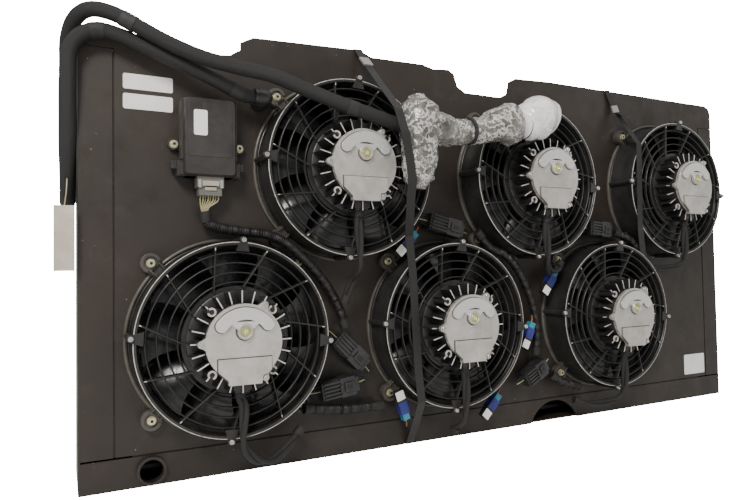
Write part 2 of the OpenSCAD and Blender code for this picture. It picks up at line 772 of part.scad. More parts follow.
impeller(3);  // impeller_4
impeller(4);  // impeller_5
impeller(5);  // impeller_6
rotor_shaft(0);  // rotor_shaft_1
rotor_shaft(1);  // rotor_shaft_2
rotor_shaft(2);  // rotor_shaft_3
rotor_shaft(3);  // rotor_shaft_4
rotor_shaft(4);  // rotor_shaft_5
rotor_shaft(5);  // rotor_shaft_6
motor_stators();
motor_bearings();
hex_bolts();
socket_screws();
controller_case();
controller_plug();
harness_trunk();
fan_leads();
harness_connectors();
blue_plugs();
paper_labels();
loom_boot();
main_loom();
packing_straps();
bubble_wrap();
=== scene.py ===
"""Looks for the six-fan oil cooling pack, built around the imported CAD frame."""
import math

import bpy
from mathutils import Matrix, Vector, noise


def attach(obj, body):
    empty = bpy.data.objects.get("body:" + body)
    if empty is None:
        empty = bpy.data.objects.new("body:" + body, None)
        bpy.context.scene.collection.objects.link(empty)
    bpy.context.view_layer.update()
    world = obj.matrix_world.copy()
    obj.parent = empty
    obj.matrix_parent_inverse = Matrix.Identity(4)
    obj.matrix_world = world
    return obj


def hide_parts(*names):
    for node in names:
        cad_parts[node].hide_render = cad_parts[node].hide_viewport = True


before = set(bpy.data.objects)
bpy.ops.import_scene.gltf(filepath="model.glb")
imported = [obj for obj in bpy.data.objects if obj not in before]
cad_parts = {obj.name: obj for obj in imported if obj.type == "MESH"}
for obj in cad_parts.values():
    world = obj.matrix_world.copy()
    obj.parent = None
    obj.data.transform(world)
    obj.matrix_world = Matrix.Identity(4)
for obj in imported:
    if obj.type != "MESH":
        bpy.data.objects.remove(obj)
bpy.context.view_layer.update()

MM = 0.001
FRONT = -0.075          # the panel's front plane
FAN_PITCH = 0.4125
ROW_LOW = (-0.099, 0.222)
ROW_HIGH = (0.105, 0.5025)
FANS = range(1, 7)
GUARD_TURN = math.radians(4)
EAR_ANGLES = [math.radians(a) for a in (45, 135, 225, 315)]
TAB_ANGLES = [math.radians(a) - GUARD_TURN for a in (0, 90, 180, 270)]
COVER_ANGLES = [math.radians(a) for a in (60, 180, 300)]


# ---------------------------------------------------------------- camera and stage

def place_camera():
    """A camera at the left front, a little below the middle, looking across the fans."""
    yaw, pitch, roll = (math.radians(a) for a in (26.87, 1.83, -0.93))
    forward = Vector((math.sin(yaw) * math.cos(pitch),
                      math.cos(yaw) * math.cos(pitch),
                      math.sin(pitch)))
    level = Vector((math.cos(yaw), -math.sin(yaw), 0.0))
    above = level.cross(forward)
    right = level * math.cos(roll) + above * math.sin(roll)
    up = above * math.cos(roll) - level * math.sin(roll)
    data = bpy.data.cameras.new("camera")
    data.sensor_width = 36.0
    data.lens = 29.65
    data.clip_end = 50.0
    camera = bpy.data.objects.new("camera", data)
    turn = Matrix((right, up, -forward)).transposed().to_4x4()
    camera.matrix_world = Matrix.Translation((-0.7534, -1.0908, 0.3267)) @ turn
    bpy.context.collection.objects.link(camera)
    bpy.context.scene.camera = camera


def area_light(name, place, target, size, power, tint=(1.0, 1.0, 1.0)):
    data = bpy.data.lights.new(name, "AREA")
    data.shape = "RECTANGLE"
    data.size = size[0]
    data.size_y = size[1]
    data.energy = power
    data.color = tint
    light = bpy.data.objects.new(name, data)
    aim = Vector(target) - Vector(place)
    light.rotation_euler = aim.to_track_quat("-Z", "Y").to_euler()
    light.location = place
    bpy.context.collection.objects.link(light)


def build_stage():
    world = bpy.data.worlds.new("studio")
    world.use_nodes = True
    background = world.node_tree.nodes["Background"]
    background.inputs["Color"].default_value = (1.0, 0.995, 0.985, 1.0)
    background.inputs["Strength"].default_value = 0.50
    # the backdrop itself is seen pure white, brighter than the light it gives
    tree = world.node_tree
    seen = tree.nodes.new("ShaderNodeBackground")
    seen.inputs["Color"].default_value = (1.0, 1.0, 1.0, 1.0)
    seen.inputs["Strength"].default_value = 30.0
    ray = tree.nodes.new("ShaderNodeLightPath")
    pick = tree.nodes.new("ShaderNodeMixShader")
    tree.links.new(ray.outputs["Is Camera Ray"], pick.inputs["Fac"])
    tree.links.new(background.outputs["Background"], pick.inputs[1])
    tree.links.new(seen.outputs["Background"], pick.inputs[2])
    tree.links.new(pick.outputs["Shader"], tree.nodes["World Output"].inputs["Surface"])
    bpy.context.scene.world = world
    area_light("key", (-1.9, -2.2, 2.3), (-0.2, 0.0, 0.4), (0.9, 0.9), 98, (1.0, 0.96, 0.91))
    area_light("top", (0.2, -0.8, 2.6), (0.1, -0.1, 0.4), (2.2, 1.0), 9)
    area_light("side", (2.2, -1.8, 1.1), (0.4, 0.0, 0.3), (0.8, 1.2), 3)
    floor_mat = bpy.data.materials.new("floor_white")
    floor_mat.use_nodes = True
    shader = floor_mat.node_tree.nodes["Principled BSDF"]
    shader.inputs["Base Color"].default_value = (0.98, 0.98, 0.978, 1.0)
    shader.inputs["Roughness"].default_value = 0.9
    # seen by the camera the floor glows a little, so that it is as white as the backdrop
    lit = floor_mat.node_tree.nodes.new("ShaderNodeLightPath")
    gain = floor_mat.node_tree.nodes.new("ShaderNodeMath")
    gain.operation = "MULTIPLY"
    gain.inputs[1].default_value = 24.0
    floor_mat.node_tree.links.new(lit.outputs["Is Camera Ray"], gain.inputs[0])
    floor_mat.node_tree.links.new(gain.outputs["Value"], shader.inputs["Emission Strength"])
    shader.inputs["Emission Color"].default_value = (1.0, 1.0, 1.0, 1.0)
    mesh = bpy.data.meshes.new("floor")
    reach = 14.0
    corners = [(-reach, -reach, 0), (reach, -reach, 0), (reach, reach, 0), (-reach, reach, 0)]
    mesh.from_pydata(corners, [], [(0, 1, 2, 3)])
    mesh.materials.append(floor_mat)
    floor = bpy.data.objects.new("floor", mesh)
    bpy.context.collection.objects.link(floor)


# ---------------------------------------------------------------- mesh helpers

class Shape:
    """Collects points and faces, with a material number and a texture place for each."""

    def __init__(self):
        self.points = []
        self.faces = []
        self.numbers = []
        self.uvs = []

    def add(self, points, faces, number=0, place=None, uvs=None):
        first = len(self.points)
        self.points += [place @ Vector(p) if place else Vector(p) for p in points]
        for at, face in enumerate(faces):
            self.faces.append([first + k for k in face])
            self.numbers.append(number)
            self.uvs.append(uvs[at] if uvs else [(0.0, 0.0)] * len(face))

    def finish(self, name, materials, bevel=0.0, angle=35, segments=2):
        mesh = bpy.data.meshes.new(name)
        mesh.from_pydata([tuple(p) for p in self.points], [], self.faces)
        layer = mesh.uv_layers.new(name="UVMap")
        flat = [c for face in self.uvs for uv in face for c in uv]
        layer.data.foreach_set("uv", flat)
        for material in materials:
            mesh.materials.append(material)
        mesh.polygons.foreach_set("material_index", self.numbers)
        mesh.shade_smooth()
        mesh.set_sharp_from_angle(angle=math.radians(angle))
        mesh.validate()
        piece = bpy.data.objects.new(name, mesh)
        bpy.context.collection.objects.link(piece)
        if bevel:
            rounding = piece.modifiers.new("rounding", "BEVEL")
            rounding.width = bevel
            rounding.segments = segments
            rounding.limit_method = "ANGLE"
            rounding.angle_limit = math.radians(angle)
            rounding.harden_normals = True
            rounding.use_clamp_overlap = True
        return piece


def fan_centre(number):
    if number <= 3:
        return ROW_LOW[0] + (number - 2) * FAN_PITCH, ROW_LOW[1]
    return ROW_HIGH[0] + (number - 5) * FAN_PITCH, ROW_HIGH[1]


def fan_place(number):
    """Local x right, y up and z out of the panel, in millimetres, for one fan."""
    x, z = fan_centre(number)
    return Matrix(((MM, 0, 0, x), (0, 0, -MM, FRONT), (0, MM, 0, z), (0, 0, 0, 1)))


def panel_place(x=0.0, z=0.0, turn=0.0):
    """Local x right, y up and z out of the panel, in millimetres, at x, z on the panel."""
    flat = Matrix(((MM, 0, 0, x * MM), (0, 0, -MM, FRONT), (0, MM, 0, z * MM), (0, 0, 0, 1)))
    return flat @ Matrix.Rotation(math.radians(turn), 4, "Z")


def turned(angle, radius=0.0, height=0.0):
    return Matrix.Rotation(angle, 4, "Z") @ Matrix.Translation((radius, 0, height))


def revolve(profile, steps=96, closed=True):
    """Faces of a profile of (radius, height) points turned round the z axis."""
    points = []
    for k in range(steps):
        a = 2 * math.pi * k / steps
        points += [(r * math.cos(a), r * math.sin(a), h) for r, h in profile]
    n = len(profile)
    faces = []
    for k in range(steps):
        nxt = (k + 1) % steps
        for j in range(n if closed else n - 1):
            i = (j + 1) % n
            faces.append([k * n + j, nxt * n + j, nxt * n + i, k * n + i])
    return points, faces


def prism(outline, low, high):
    """An outline of (x, y) points, anticlockwise, raised from low to high."""
    n = len(outline)
    points = [(x, y, low) for x, y in outline] + [(x, y, high) for x, y in outline]
    faces = [list(range(n - 1, -1, -1)), list(range(n, 2 * n))]
    faces += [[k, (k + 1) % n, n + (k + 1) % n, n + k] for k in range(n)]
    return points, faces


def disc(radius, low, high, steps=32):
    ring = [(radius * math.cos(2 * math.pi * k / steps), radius * math.sin(2 * math.pi * k / steps))
            for k in range(steps)]
    return prism(ring, low, high)


def block(x0, x1, y0, y1, z0, z1):
    return prism([(x0, y0), (x1, y0), (x1, y1), (x0, y1)], z0, z1)


def arc(cx, cy, radius, start, end, steps):
    """Points of an arc from start to end, in degrees."""
    out = []
    for k in range(steps + 1):
        a = math.radians(start + (end - start) * k / steps)
        out.append((cx + radius * math.cos(a), cy + radius * math.sin(a)))
    return out


def rounded_rectangle(width, height, corner, steps=4):
    x, y = width / 2 - corner, height / 2 - corner
    out = arc(x, -y, corner, -90, 0, steps) + arc(x, y, corner, 0, 90, steps)
    return out + arc(-x, y, corner, 90, 180, steps) + arc(-x, -y, corner, 180, 270, steps)


def smooth_path(points, step):
    """A Catmull-Rom curve through the points, resampled about every step."""
    pts = [Vector(p) for p in points]
    ends = [2 * pts[0] - pts[1]] + pts + [2 * pts[-1] - pts[-2]]
    fine = []
    for i in range(1, len(ends) - 2):
        p0, p1, p2, p3 = ends[i - 1:i + 3]
        count = max(2, int((p2 - p1).length / step))
        for k in range(count):
            t = k / count
            fine.append(0.5 * (2 * p1 + (p2 - p0) * t + (2 * p0 - 5 * p1 + 4 * p2 - p3) * t * t
                               + (3 * p1 - p0 - 3 * p2 + p3) * t ** 3))
    fine.append(pts[-1])
    return fine


def path_length(path):
    return sum((b - a).length for a, b in zip(path, path[1:]))


def tube(path, radius, sides=16, squeeze=1.0):
    """Faces of a tube along path; radius is one number or a function of the share of length."""
    total = path_length(path)
    tangents = []
    for i in range(len(path)):
        a = path[max(0, i - 1)]
        b = path[min(len(path) - 1, i + 1)]
        tangents.append((b - a).normalized())
    normal = tangents[0].orthogonal().normalized()
    points, along, run = [], [], 0.0
    for i, (p, t) in enumerate(zip(path, tangents)):
        if i:
            run += (p - path[i - 1]).length
        along.append(run)
        normal = (normal - t * normal.dot(t)).normalized()
        other = t.cross(normal)
        r = radius(run / total) if callable(radius) else radius
        for k in range(sides):
            a = 2 * math.pi * k / sides
            points.append(p + normal * (r * math.cos(a)) + other * (r * squeeze * math.sin(a)))
    girth = 2 * math.pi * (radius(0.5) if callable(radius) else radius)
    faces, uvs = [], []
    for i in range(len(path) - 1):
        for k in range(sides):
            n = (k + 1) % sides
            faces.append([i * sides + k, i * sides + n, (i + 1) * sides + n, (i + 1) * sides + k])
            v0, v1 = girth * k / sides, girth * (k + 1) / sides
            uvs.append([(along[i], v0), (along[i], v1), (along[i + 1], v1), (along[i + 1], v0)])
    last = (len(path) - 1) * sides
    faces.append(list(range(sides - 1, -1, -1)))
    uvs.append([(0.0, 0.0)] * sides)
    faces.append([last + k for k in range(sides)])
    uvs.append([(total, 0.0)] * sides)
    return points, faces, uvs


def seat(piece, node):
    """The piece stands for a fixed CAD node."""
    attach(piece, "frame")
    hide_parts(node)
    return piece


def metres(route):
    """Route points in millimetres from the panel's front plane, as places in metres."""
    return [Vector((x * MM, y * MM + FRONT, z * MM)) for x, y, z in route]


# ---------------------------------------------------------------- materials

class Nodes:
    """Short names for building one material's node tree."""

    def __init__(self, name):
        self.material = bpy.data.materials.new(name)
        self.material.use_nodes = True
        self.tree = self.material.node_tree
        self.shader = self.tree.nodes["Principled BSDF"]

    def node(self, kind, **values):
        made = self.tree.nodes.new(kind)
        for key, value in values.items():
            setattr(made, key, value)
        return made

    def link(self, out, into):
        self.tree.links.new(out, into)

    def place(self, scale=(1, 1, 1), source="Object"):
        where = self.node("ShaderNodeTexCoord")
        mapping = self.node("ShaderNodeMapping")
        mapping.inputs["Scale"].default_value = scale
        self.link(where.outputs[source], mapping.inputs["Vector"])
        return mapping.outputs["Vector"]

    def noise(self, scale, detail=4.0, rough=0.6, vector=None, kind="ShaderNodeTexNoise"):
        made = self.node(kind)
        made.inputs["Scale"].default_value = scale
        made.inputs["Detail"].default_value = detail
        made.inputs["Roughness"].default_value = rough
        self.link(vector or self.place(), made.inputs["Vector"])
        return made.outputs["Fac"]

    def cells(self, scale, vector=None, feature="F1", out="Distance"):
        made = self.node("ShaderNodeTexVoronoi", feature=feature)
        made.inputs["Scale"].default_value = scale
        self.link(vector or self.place(), made.inputs["Vector"])
        return made.outputs[out]

    def ramp(self, value, stops):
        made = self.node("ShaderNodeValToRGB")
        ramp = made.color_ramp
        while len(ramp.elements) < len(stops):
            ramp.elements.new(0.5)
        for element, (at, colour) in zip(ramp.elements, stops):
            element.position = at
            element.color = (*colour, 1.0) if len(colour) == 3 else colour
        self.link(value, made.inputs["Fac"])
        return made.outputs["Color"]

    def levels(self, value, low, high, to_low=0.0, to_high=1.0):
        made = self.node("ShaderNodeMapRange")
        for key, number in zip(("From Min", "From Max", "To Min", "To Max"),
                               (low, high, to_low, to_high)):
            made.inputs[key].default_value = number
        self.link(value, made.inputs["Value"])
        return made.outputs["Result"]

    def mix(self, factor, one, two, blend="MIX"):
        made = self.node("ShaderNodeMix", data_type="RGBA", blend_type=blend)
        for socket, value in ((made.inputs["Factor"], factor), (made.inputs[6], one),
                              (made.inputs[7], two)):
            if isinstance(value, tuple):
                socket.default_value = (*value, 1.0)
            elif isinstance(value, float):
                socket.default_value = value
            else:
                self.link(value, socket)
        return made.outputs[2]

    def maths(self, operation, one, two=0.0):
        made = self.node("ShaderNodeMath", operation=operation)
        for socket, value in zip(made.inputs, (one, two)):
            if isinstance(value, (int, float)):
                socket.default_value = value
            else:
                self.link(value, socket)
        return made.outputs["Value"]

    def bump(self, height, strength=0.3, distance=0.001, after=None):
        made = self.node("ShaderNodeBump")
        made.inputs["Strength"].default_value = strength
        made.inputs["Distance"].default_value = distance
        self.link(height, made.inputs["Height"])
        if after:
            self.link(after, made.inputs["Normal"])
        return made.outputs["Normal"]

    def done(self, colour=None, rough=None, normal=None, **fixed):
        for name, value in (("Base Color", colour), ("Roughness", rough), ("Normal", normal)):
            if value is None:
                continue
            if isinstance(value, tuple):
                self.shader.inputs[name].default_value = (*value, 1.0)
            elif isinstance(value, float):
                self.shader.inputs[name].default_value = value
            else:
                self.link(value, self.shader.inputs[name])
        for key, value in fixed.items():
            self.shader.inputs[key.replace("_", " ").title()].default_value = value
        return self.material


def painted_steel():
    """Brown-grey powder coat with dust, pale scuffs and small chips."""
    m = Nodes("painted_steel")
    cloudy = m.levels(m.noise(3.2, 5.0), 0.34, 0.68)
    base = m.mix(cloudy, (0.017, 0.0125, 0.0095), (0.030, 0.0225, 0.0165))
    dust = m.levels(m.noise(14.0, 8.0, 0.72), 0.55, 0.78, 0.0, 0.30)
    base = m.mix(dust, base, (0.082, 0.064, 0.048))
    streak = m.noise(1.0, 6.0, 0.75, m.place((38, 38, 7)))
    base = m.mix(m.levels(streak, 0.63, 0.74, 0.0, 0.35), base, (0.085, 0.070, 0.054))
    specks = m.levels(m.cells(85.0), 0.0, 0.10, 1.0, 0.0)
    gate = m.levels(m.noise(9.0, 3.0), 0.58, 0.62)
    chips = m.maths("MULTIPLY", specks, gate)
    base = m.mix(chips, base, (0.42, 0.38, 0.33))
    rough = m.levels(m.noise(22.0, 5.0), 0.3, 0.7, 0.38, 0.62)
    peel = m.bump(m.noise(620.0, 2.0), 0.12, 0.0004)
    dents = m.bump(m.noise(7.0, 2.0), 0.22, 0.004, peel)
    return m.done(base, rough, dents)


def moulded(name, low, high, rough_low=0.35, rough_high=0.55, grain=900.0):
    """Fine-grained moulding with a film of dust."""
    m = Nodes(name)
    base = m.mix(m.levels(m.noise(24.0, 6.0), 0.35, 0.7), low, high)
    dust = m.levels(m.noise(75.0, 8.0, 0.75), 0.58, 0.8, 0.0, 0.35)
    base = m.mix(dust, base, (0.13, 0.12, 0.11))
    rough = m.levels(m.noise(60.0, 4.0), 0.3, 0.7, rough_low, rough_high)
    return m.done(base, rough, m.bump(m.noise(grain, 2.0), 0.15, 0.0003))


def cast_alloy():
    """Bare cast aluminium: fine sand texture, cloudy stains and pin-prick pits."""
    m = Nodes("cast_alloy")
    base = m.mix(m.levels(m.noise(26.0, 6.0, 0.7), 0.36, 0.66), (0.50, 0.475, 0.44),
                 (0.66, 0.64, 0.61))
    stain = m.levels(m.noise(70.0, 8.0, 0.8), 0.56, 0.74, 0.0, 0.5)
    base = m.mix(stain, base, (0.33, 0.30, 0.26))
    pits = m.levels(m.cells(420.0), 0.0, 0.16, 0.6, 0.0)
    base = m.mix(pits, base, (0.22, 0.20, 0.18))
    rough = m.levels(m.noise(90.0, 5.0), 0.3, 0.7, 0.34, 0.56)
    sand = m.bump(m.noise(760.0, 4.0, 0.7), 0.35, 0.0005)
    return m.done(base, rough, sand, metallic=0.75)


def painted_edge_highlight():
    """Painted highlight: pale patches for light caught on the edge of a black moulding or a coated
    fin.
    """
    m = Nodes("painted_edge_highlight")
    patches = m.levels(m.noise(150.0, 8.0, 0.8), 0.30, 0.52)
    base = m.mix(patches, (0.10, 0.095, 0.09), (0.56, 0.53, 0.49))
    return m.done(base, 0.45, m.bump(m.noise(900.0, 3.0), 0.2, 0.0003))


def bright_fin():
    """Milled bare metal on the ends of the motor fins."""
    m = Nodes("bright_fin")
    patches = m.levels(m.noise(240.0, 6.0, 0.7), 0.28, 0.45)
    base = m.mix(patches, (0.20, 0.19, 0.18), (0.74, 0.72, 0.69))
    lines = m.noise(1.0, 3.0, 0.6, m.place((3000, 3000, 400)))
    return m.done(base, m.levels(lines, 0.3, 0.7, 0.28, 0.5),
                  m.bump(lines, 0.2, 0.0002), metallic=0.6)


def steel(name, low, high, rough=0.3):
    m = Nodes(name)
    base = m.mix(m.levels(m.noise(300.0, 6.0, 0.7), 0.3, 0.7), low, high)
    spread = m.levels(m.noise(500.0, 3.0), 0.3, 0.7, rough * 0.8, rough * 1.4)
    return m.done(base, spread, m.bump(m.noise(1400.0, 2.0), 0.15, 0.0002), metallic=0.85)


def glossy_blade():
    m = Nodes("glossy_blade")
    base = m.mix(m.levels(m.noise(18.0, 5.0), 0.35, 0.7), (0.012, 0.012, 0.013),
                 (0.028, 0.027, 0.027))
    dust = m.levels(m.noise(55.0, 8.0, 0.75), 0.55, 0.8, 0.0, 0.16)
    base = m.mix(dust, base, (0.16, 0.15, 0.135))
    rough = m.levels(m.noise(34.0, 5.0), 0.3, 0.7, 0.16, 0.34)
    return m.done(base, rough, m.bump(m.noise(120.0, 3.0), 0.08, 0.0008))


def woven_sleeve(name, low, high, pitch=0.0032):
    """A braided sleeve: two crossing sets of threads laid over the tube's own length."""
    m = Nodes(name)
    where = m.node("ShaderNodeTexCoord")
    parts = m.node("ShaderNodeSeparateXYZ")
    m.link(where.outputs["UV"], parts.inputs["Vector"])
    turn = 2 * math.pi / pitch
    one = m.maths("MULTIPLY", m.maths("ADD", parts.outputs["X"], parts.outputs["Y"]), turn)
    two = m.maths("MULTIPLY", m.maths("SUBTRACT", parts.outputs["X"], parts.outputs["Y"]), turn)
    weave = m.maths("MULTIPLY", m.maths("SINE", one), m.maths("SINE", two))
    # painted shade where the threads dip under each other, lighter on their crowns
    base = m.mix(m.levels(weave, -0.6, 0.8), low, high)
    fuzz = m.levels(m.noise(180.0, 8.0, 0.8), 0.58, 0.8, 0.0, 0.25)
    base = m.mix(fuzz, base, (0.06, 0.056, 0.052))
    return m.done(base, 0.62, m.bump(weave, 0.55, 0.0006))


def ribbed_sleeve(name, low, high, pitch=0.003):
    """Convoluted tubing: ribs round the tube along its length."""
    m = Nodes(name)
    where = m.node("ShaderNodeTexCoord")
    parts = m.node("ShaderNodeSeparateXYZ")
    m.link(where.outputs["UV"], parts.inputs["Vector"])
    ribs = m.maths("SINE", m.maths("MULTIPLY", parts.outputs["X"], 2 * math.pi / pitch))
    # painted shade in the valleys between the ribs, lighter on their crests
    base = m.mix(m.levels(ribs, -0.8, 0.6), low, high)
    dust = m.levels(m.noise(90.0, 8.0, 0.75), 0.56, 0.8, 0.0, 0.3)
    base = m.mix(dust, base, (0.14, 0.13, 0.12))
    return m.done(base, 0.45, m.bump(ribs, 0.7, 0.0008))


def strap_weave():
    """Flat packing strap with a fine crosswise emboss."""
    m = Nodes("strap_weave")
    where = m.node("ShaderNodeTexCoord")
    parts = m.node("ShaderNodeSeparateXYZ")
    m.link(where.outputs["UV"], parts.inputs["Vector"])
    one = m.maths("SINE", m.maths("MULTIPLY", parts.outputs["X"], 2 * math.pi / 0.0016))
    two = m.maths("SINE", m.maths("MULTIPLY", parts.outputs["Y"], 2 * math.pi / 0.0016))
    emboss = m.maths("MULTIPLY", one, two)
    # painted shade in the emboss's hollows, lighter on its raised points
    base = m.mix(m.levels(emboss, -0.7, 0.7), (0.007, 0.007, 0.007), (0.019, 0.0185, 0.018))
    return m.done(base, 0.4, m.bump(emboss, 0.35, 0.0003))


def paper(name, low=(0.80, 0.80, 0.785), high=(0.90, 0.90, 0.885)):
    m = Nodes(name)
    base = m.mix(m.levels(m.noise(30.0, 6.0, 0.7), 0.35, 0.7), low, high)
    fibres = m.noise(1.0, 4.0, 0.7, m.place((900, 900, 240)))
    return m.done(base, 0.72, m.bump(fibres, 0.15, 0.0002))


def bubble_film():
    """Clear film with painted highlights along its creases, seen through to the dark bundle inside.
    """
    m = Nodes("bubble_film")
    creases = m.noise(72.0, 7.0, 0.7)
    ridged = m.maths("ABSOLUTE", m.maths("SUBTRACT", creases, 0.5))
    lines = m.levels(ridged, 0.0, 0.045, 1.0, 0.0)
    gate = m.levels(m.noise(26.0, 3.0), 0.40, 0.52)
    cloud = m.levels(m.noise(30.0, 6.0, 0.7), 0.36, 0.66)
    base = m.mix(cloud, (0.040, 0.038, 0.034), (0.225, 0.215, 0.195))
    # painted highlight: pale lines along the creases
    base = m.mix(m.maths("MULTIPLY", lines, gate), base, (0.80, 0.79, 0.76))
    film = m.bump(m.noise(90.0, 6.0, 0.7), 0.9, 0.0022)
    bubbles = m.bump(m.cells(105.0), 0.5, 0.0012, film)
    return m.done(base, m.levels(creases, 0.3, 0.7, 0.08, 0.30), bubbles,
                  coat_weight=0.6, coat_roughness=0.08)


def white_film():
    """Several layers of wrap over white foam at the tied end."""
    m = Nodes("white_film")
    creases = m.noise(70.0, 8.0, 0.7)
    ridged = m.maths("ABSOLUTE", m.maths("SUBTRACT", creases, 0.5))
    lines = m.levels(ridged, 0.0, 0.05, 1.0, 0.0)
    base = m.mix(m.levels(m.noise(26.0, 4.0), 0.36, 0.64), (0.60, 0.59, 0.57), (0.86, 0.85, 0.83))
    # painted highlight: the crease lines mixed towards white
    base = m.mix(lines, base, (0.97, 0.965, 0.955))
    film = m.bump(m.noise(120.0, 5.0, 0.65), 0.6, 0.0015)
    return m.done(base, 0.16, film, coat_weight=0.7, coat_roughness=0.06)


def core_metal(name, low, high, lines):
    """Dull brazed aluminium coloured near-black as painted shade for the dark inside behind the
    fans, with fine drawn lines along lines, the x, y and z scales.
    """
    m = Nodes(name)
    base = m.mix(m.levels(m.noise(30.0, 6.0), 0.35, 0.68), low, high)
    drawn = m.noise(1.0, 4.0, 0.6, m.place(lines))
    base = m.mix(m.levels(drawn, 0.4, 0.75, 0.0, 0.25), base, (0.11, 0.105, 0.10))
    return m.done(base, m.levels(drawn, 0.3, 0.7, 0.4, 0.6), m.bump(drawn, 0.2, 0.0003),
                  metallic=0.6)


def winding():
    m = Nodes("winding")
    turns = m.noise(1.0, 2.0, 0.5, m.place((60, 1800, 60)))
    base = m.mix(m.levels(turns, 0.35, 0.65), (0.26, 0.11, 0.05), (0.55, 0.27, 0.12))
    return m.done(base, 0.35, m.bump(turns, 0.5, 0.0005), metallic=0.8)


class Palette:
    """Every material of the model, made once."""

    def __init__(self):
        self.paint = painted_steel()
        self.housing = moulded("housing_plastic", (0.016, 0.016, 0.016), (0.034, 0.033, 0.031),
                               0.26, 0.46)
        self.guard = moulded("guard_plastic", (0.012, 0.012, 0.012), (0.028, 0.027, 0.026),
                             0.28, 0.46)
        self.motor = moulded("motor_coating", (0.014, 0.014, 0.014), (0.030, 0.029, 0.028),
                             0.30, 0.5, 500.0)
        self.case = moulded("case_plastic", (0.020, 0.018, 0.017), (0.042, 0.038, 0.035),
                            0.34, 0.5)
        self.connector = moulded("connector_plastic", (0.014, 0.014, 0.015),
                                 (0.036, 0.035, 0.035), 0.3, 0.5)
        self.grey_plug = moulded("grey_plastic", (0.10, 0.096, 0.088), (0.17, 0.16, 0.15))
        self.beige = moulded("beige_plastic", (0.30, 0.28, 0.22), (0.42, 0.39, 0.31))
        self.blue = moulded("blue_plastic", (0.014, 0.018, 0.13), (0.03, 0.04, 0.24), 0.3, 0.45)
        self.teal = moulded("teal_plastic", (0.02, 0.16, 0.26), (0.04, 0.27, 0.40), 0.3, 0.45)
        self.alloy = cast_alloy()
        # cast_shadow: thin dark sheets of painted shadow round the covers' raised parts
        self.stain = moulded("cast_shadow", (0.045, 0.04, 0.034), (0.09, 0.08, 0.07), 0.5, 0.7)
        self.bright = steel("bright_cast", (0.70, 0.685, 0.66), (0.86, 0.85, 0.83), 0.42)
        # lighter than the housing plastic: painted highlight on the rounded bead at each drum's
        # foot
        self.bead = moulded("bead_painted_highlight", (0.050, 0.047, 0.038), (0.105, 0.097, 0.078), 0.35, 0.6)
        self.dusty = moulded("dusty_ear", (0.045, 0.041, 0.036), (0.085, 0.077, 0.067), 0.4, 0.6)
        # painted highlight for the guard rims, the spoke ends and the motor bosses' C rings
        self.edge = painted_edge_highlight()
        self.fin = bright_fin()
        self.blade = glossy_blade()
        self.screw = steel("screw_steel", (0.42, 0.41, 0.39), (0.72, 0.71, 0.69))
        self.zinc = steel("yellow_zinc", (0.55, 0.50, 0.27), (0.82, 0.79, 0.56), 0.34)
        self.green_zinc = steel("green_zinc", (0.40, 0.42, 0.10), (0.70, 0.70, 0.24), 0.34)
        # near-black sheets of painted shade, laid where holes and slots are
        self.dark = moulded("painted_recess_shade", (0.006, 0.006, 0.006), (0.014, 0.014, 0.013), 0.5, 0.7)
        self.loom = woven_sleeve("loom_sleeve", (0.004, 0.004, 0.004), (0.013, 0.0125, 0.0125))
        self.trunk = ribbed_sleeve("trunk_sleeve", (0.008, 0.008, 0.008), (0.022, 0.021, 0.021))
        self.lead = woven_sleeve("lead_sleeve", (0.008, 0.008, 0.008), (0.024, 0.023, 0.023),
                                 0.0022)
        self.tape = moulded("cloth_tape", (0.010, 0.010, 0.010), (0.022, 0.022, 0.022), 0.6, 0.8)
        self.wire_yellow = moulded("yellow_wire", (0.30, 0.27, 0.14), (0.46, 0.42, 0.25))
        self.wire_orange = moulded("orange_wire", (0.42, 0.13, 0.03), (0.55, 0.2, 0.06))
        self.strap = strap_weave()
        self.seal = steel("strap_seal", (0.40, 0.40, 0.38), (0.58, 0.57, 0.54), 0.45)
        self.label = paper("label_paper")
        self.tag = paper("tag_card", (0.46, 0.41, 0.34), (0.60, 0.54, 0.46))
        self.film = bubble_film()
        self.white_film = white_film()
        # near-black tubes and fins: painted shade for the core's dark inside
        self.core = core_metal("core_tube_metal", (0.030, 0.029, 0.028), (0.060, 0.058, 0.055),
                               (20, 700, 700))
        self.fins = core_metal("core_fin_metal", (0.022, 0.021, 0.020), (0.046, 0.044, 0.042),
                               (900, 30, 900))
        self.winding = winding()


# ---------------------------------------------------------------- cords

LOOM_DIAMETER = 0.023
LOOM_ROUTE = [
    (-475, -38, 612), (-488, -38, 612), (-512, -40, 620), (-540, -40, 632), (-575, -36, 647),
    (-610, -32, 660), (-645, -28, 674), (-676, -23, 686), (-704, -19, 691), (-729, -17, 681),
    (-744, -15, 657), (-746, -13, 620), (-746, -8, 580), (-745, -1, 545), (-746, 7, 512),
    (-746, 20, 478), (-746, 38, 452), (-746, 62, 441), (-746, 90, 448), (-746, 112, 472),
    (-747, 120, 507), (-748, 116, 546), (-748, 109, 586), (-748, 97, 624), (-747, 76, 660),
    (-746, 46, 693), (-737, 14, 714), (-718, -12, 723), (-690, -28, 717), (-660, -38, 702),
    (-611, -48, 677), (-560, -60, 657), (-508, -78, 643), (-460, -94, 632), (-410, -101, 615),
    (-358, -108, 598), (-305, -112, 584), (-250, -112, 572)]
# the loom runs on inside the bubble wrap, through its long sleeve
WRAPPED_ROUTE = [(-212, -112, 571), (-160, -108, 571), (-130, -105, 570), (-70, -104, 577),
                 (-40, -106, 588), (-12, -110, 592), (16, -110, 596), (34, -110, 602),
                 (60, -111, 610)]


def build_loom(mats):
    """The long free loom: out of its boot, over the corner, down, back up and across."""
    path = smooth_path(metres(LOOM_ROUTE + WRAPPED_ROUTE), 0.006)
    shape = Shape()
    points, faces, uvs = tube(path, LOOM_DIAMETER / 2, 20)
    shape.add(points, faces, 0, None, uvs)
    loom = shape.finish("main_loom_cable", [mats.loom], angle=60)
    seat(loom, "main_loom")
    return loom, path


# ---------------------------------------------------------------- fans

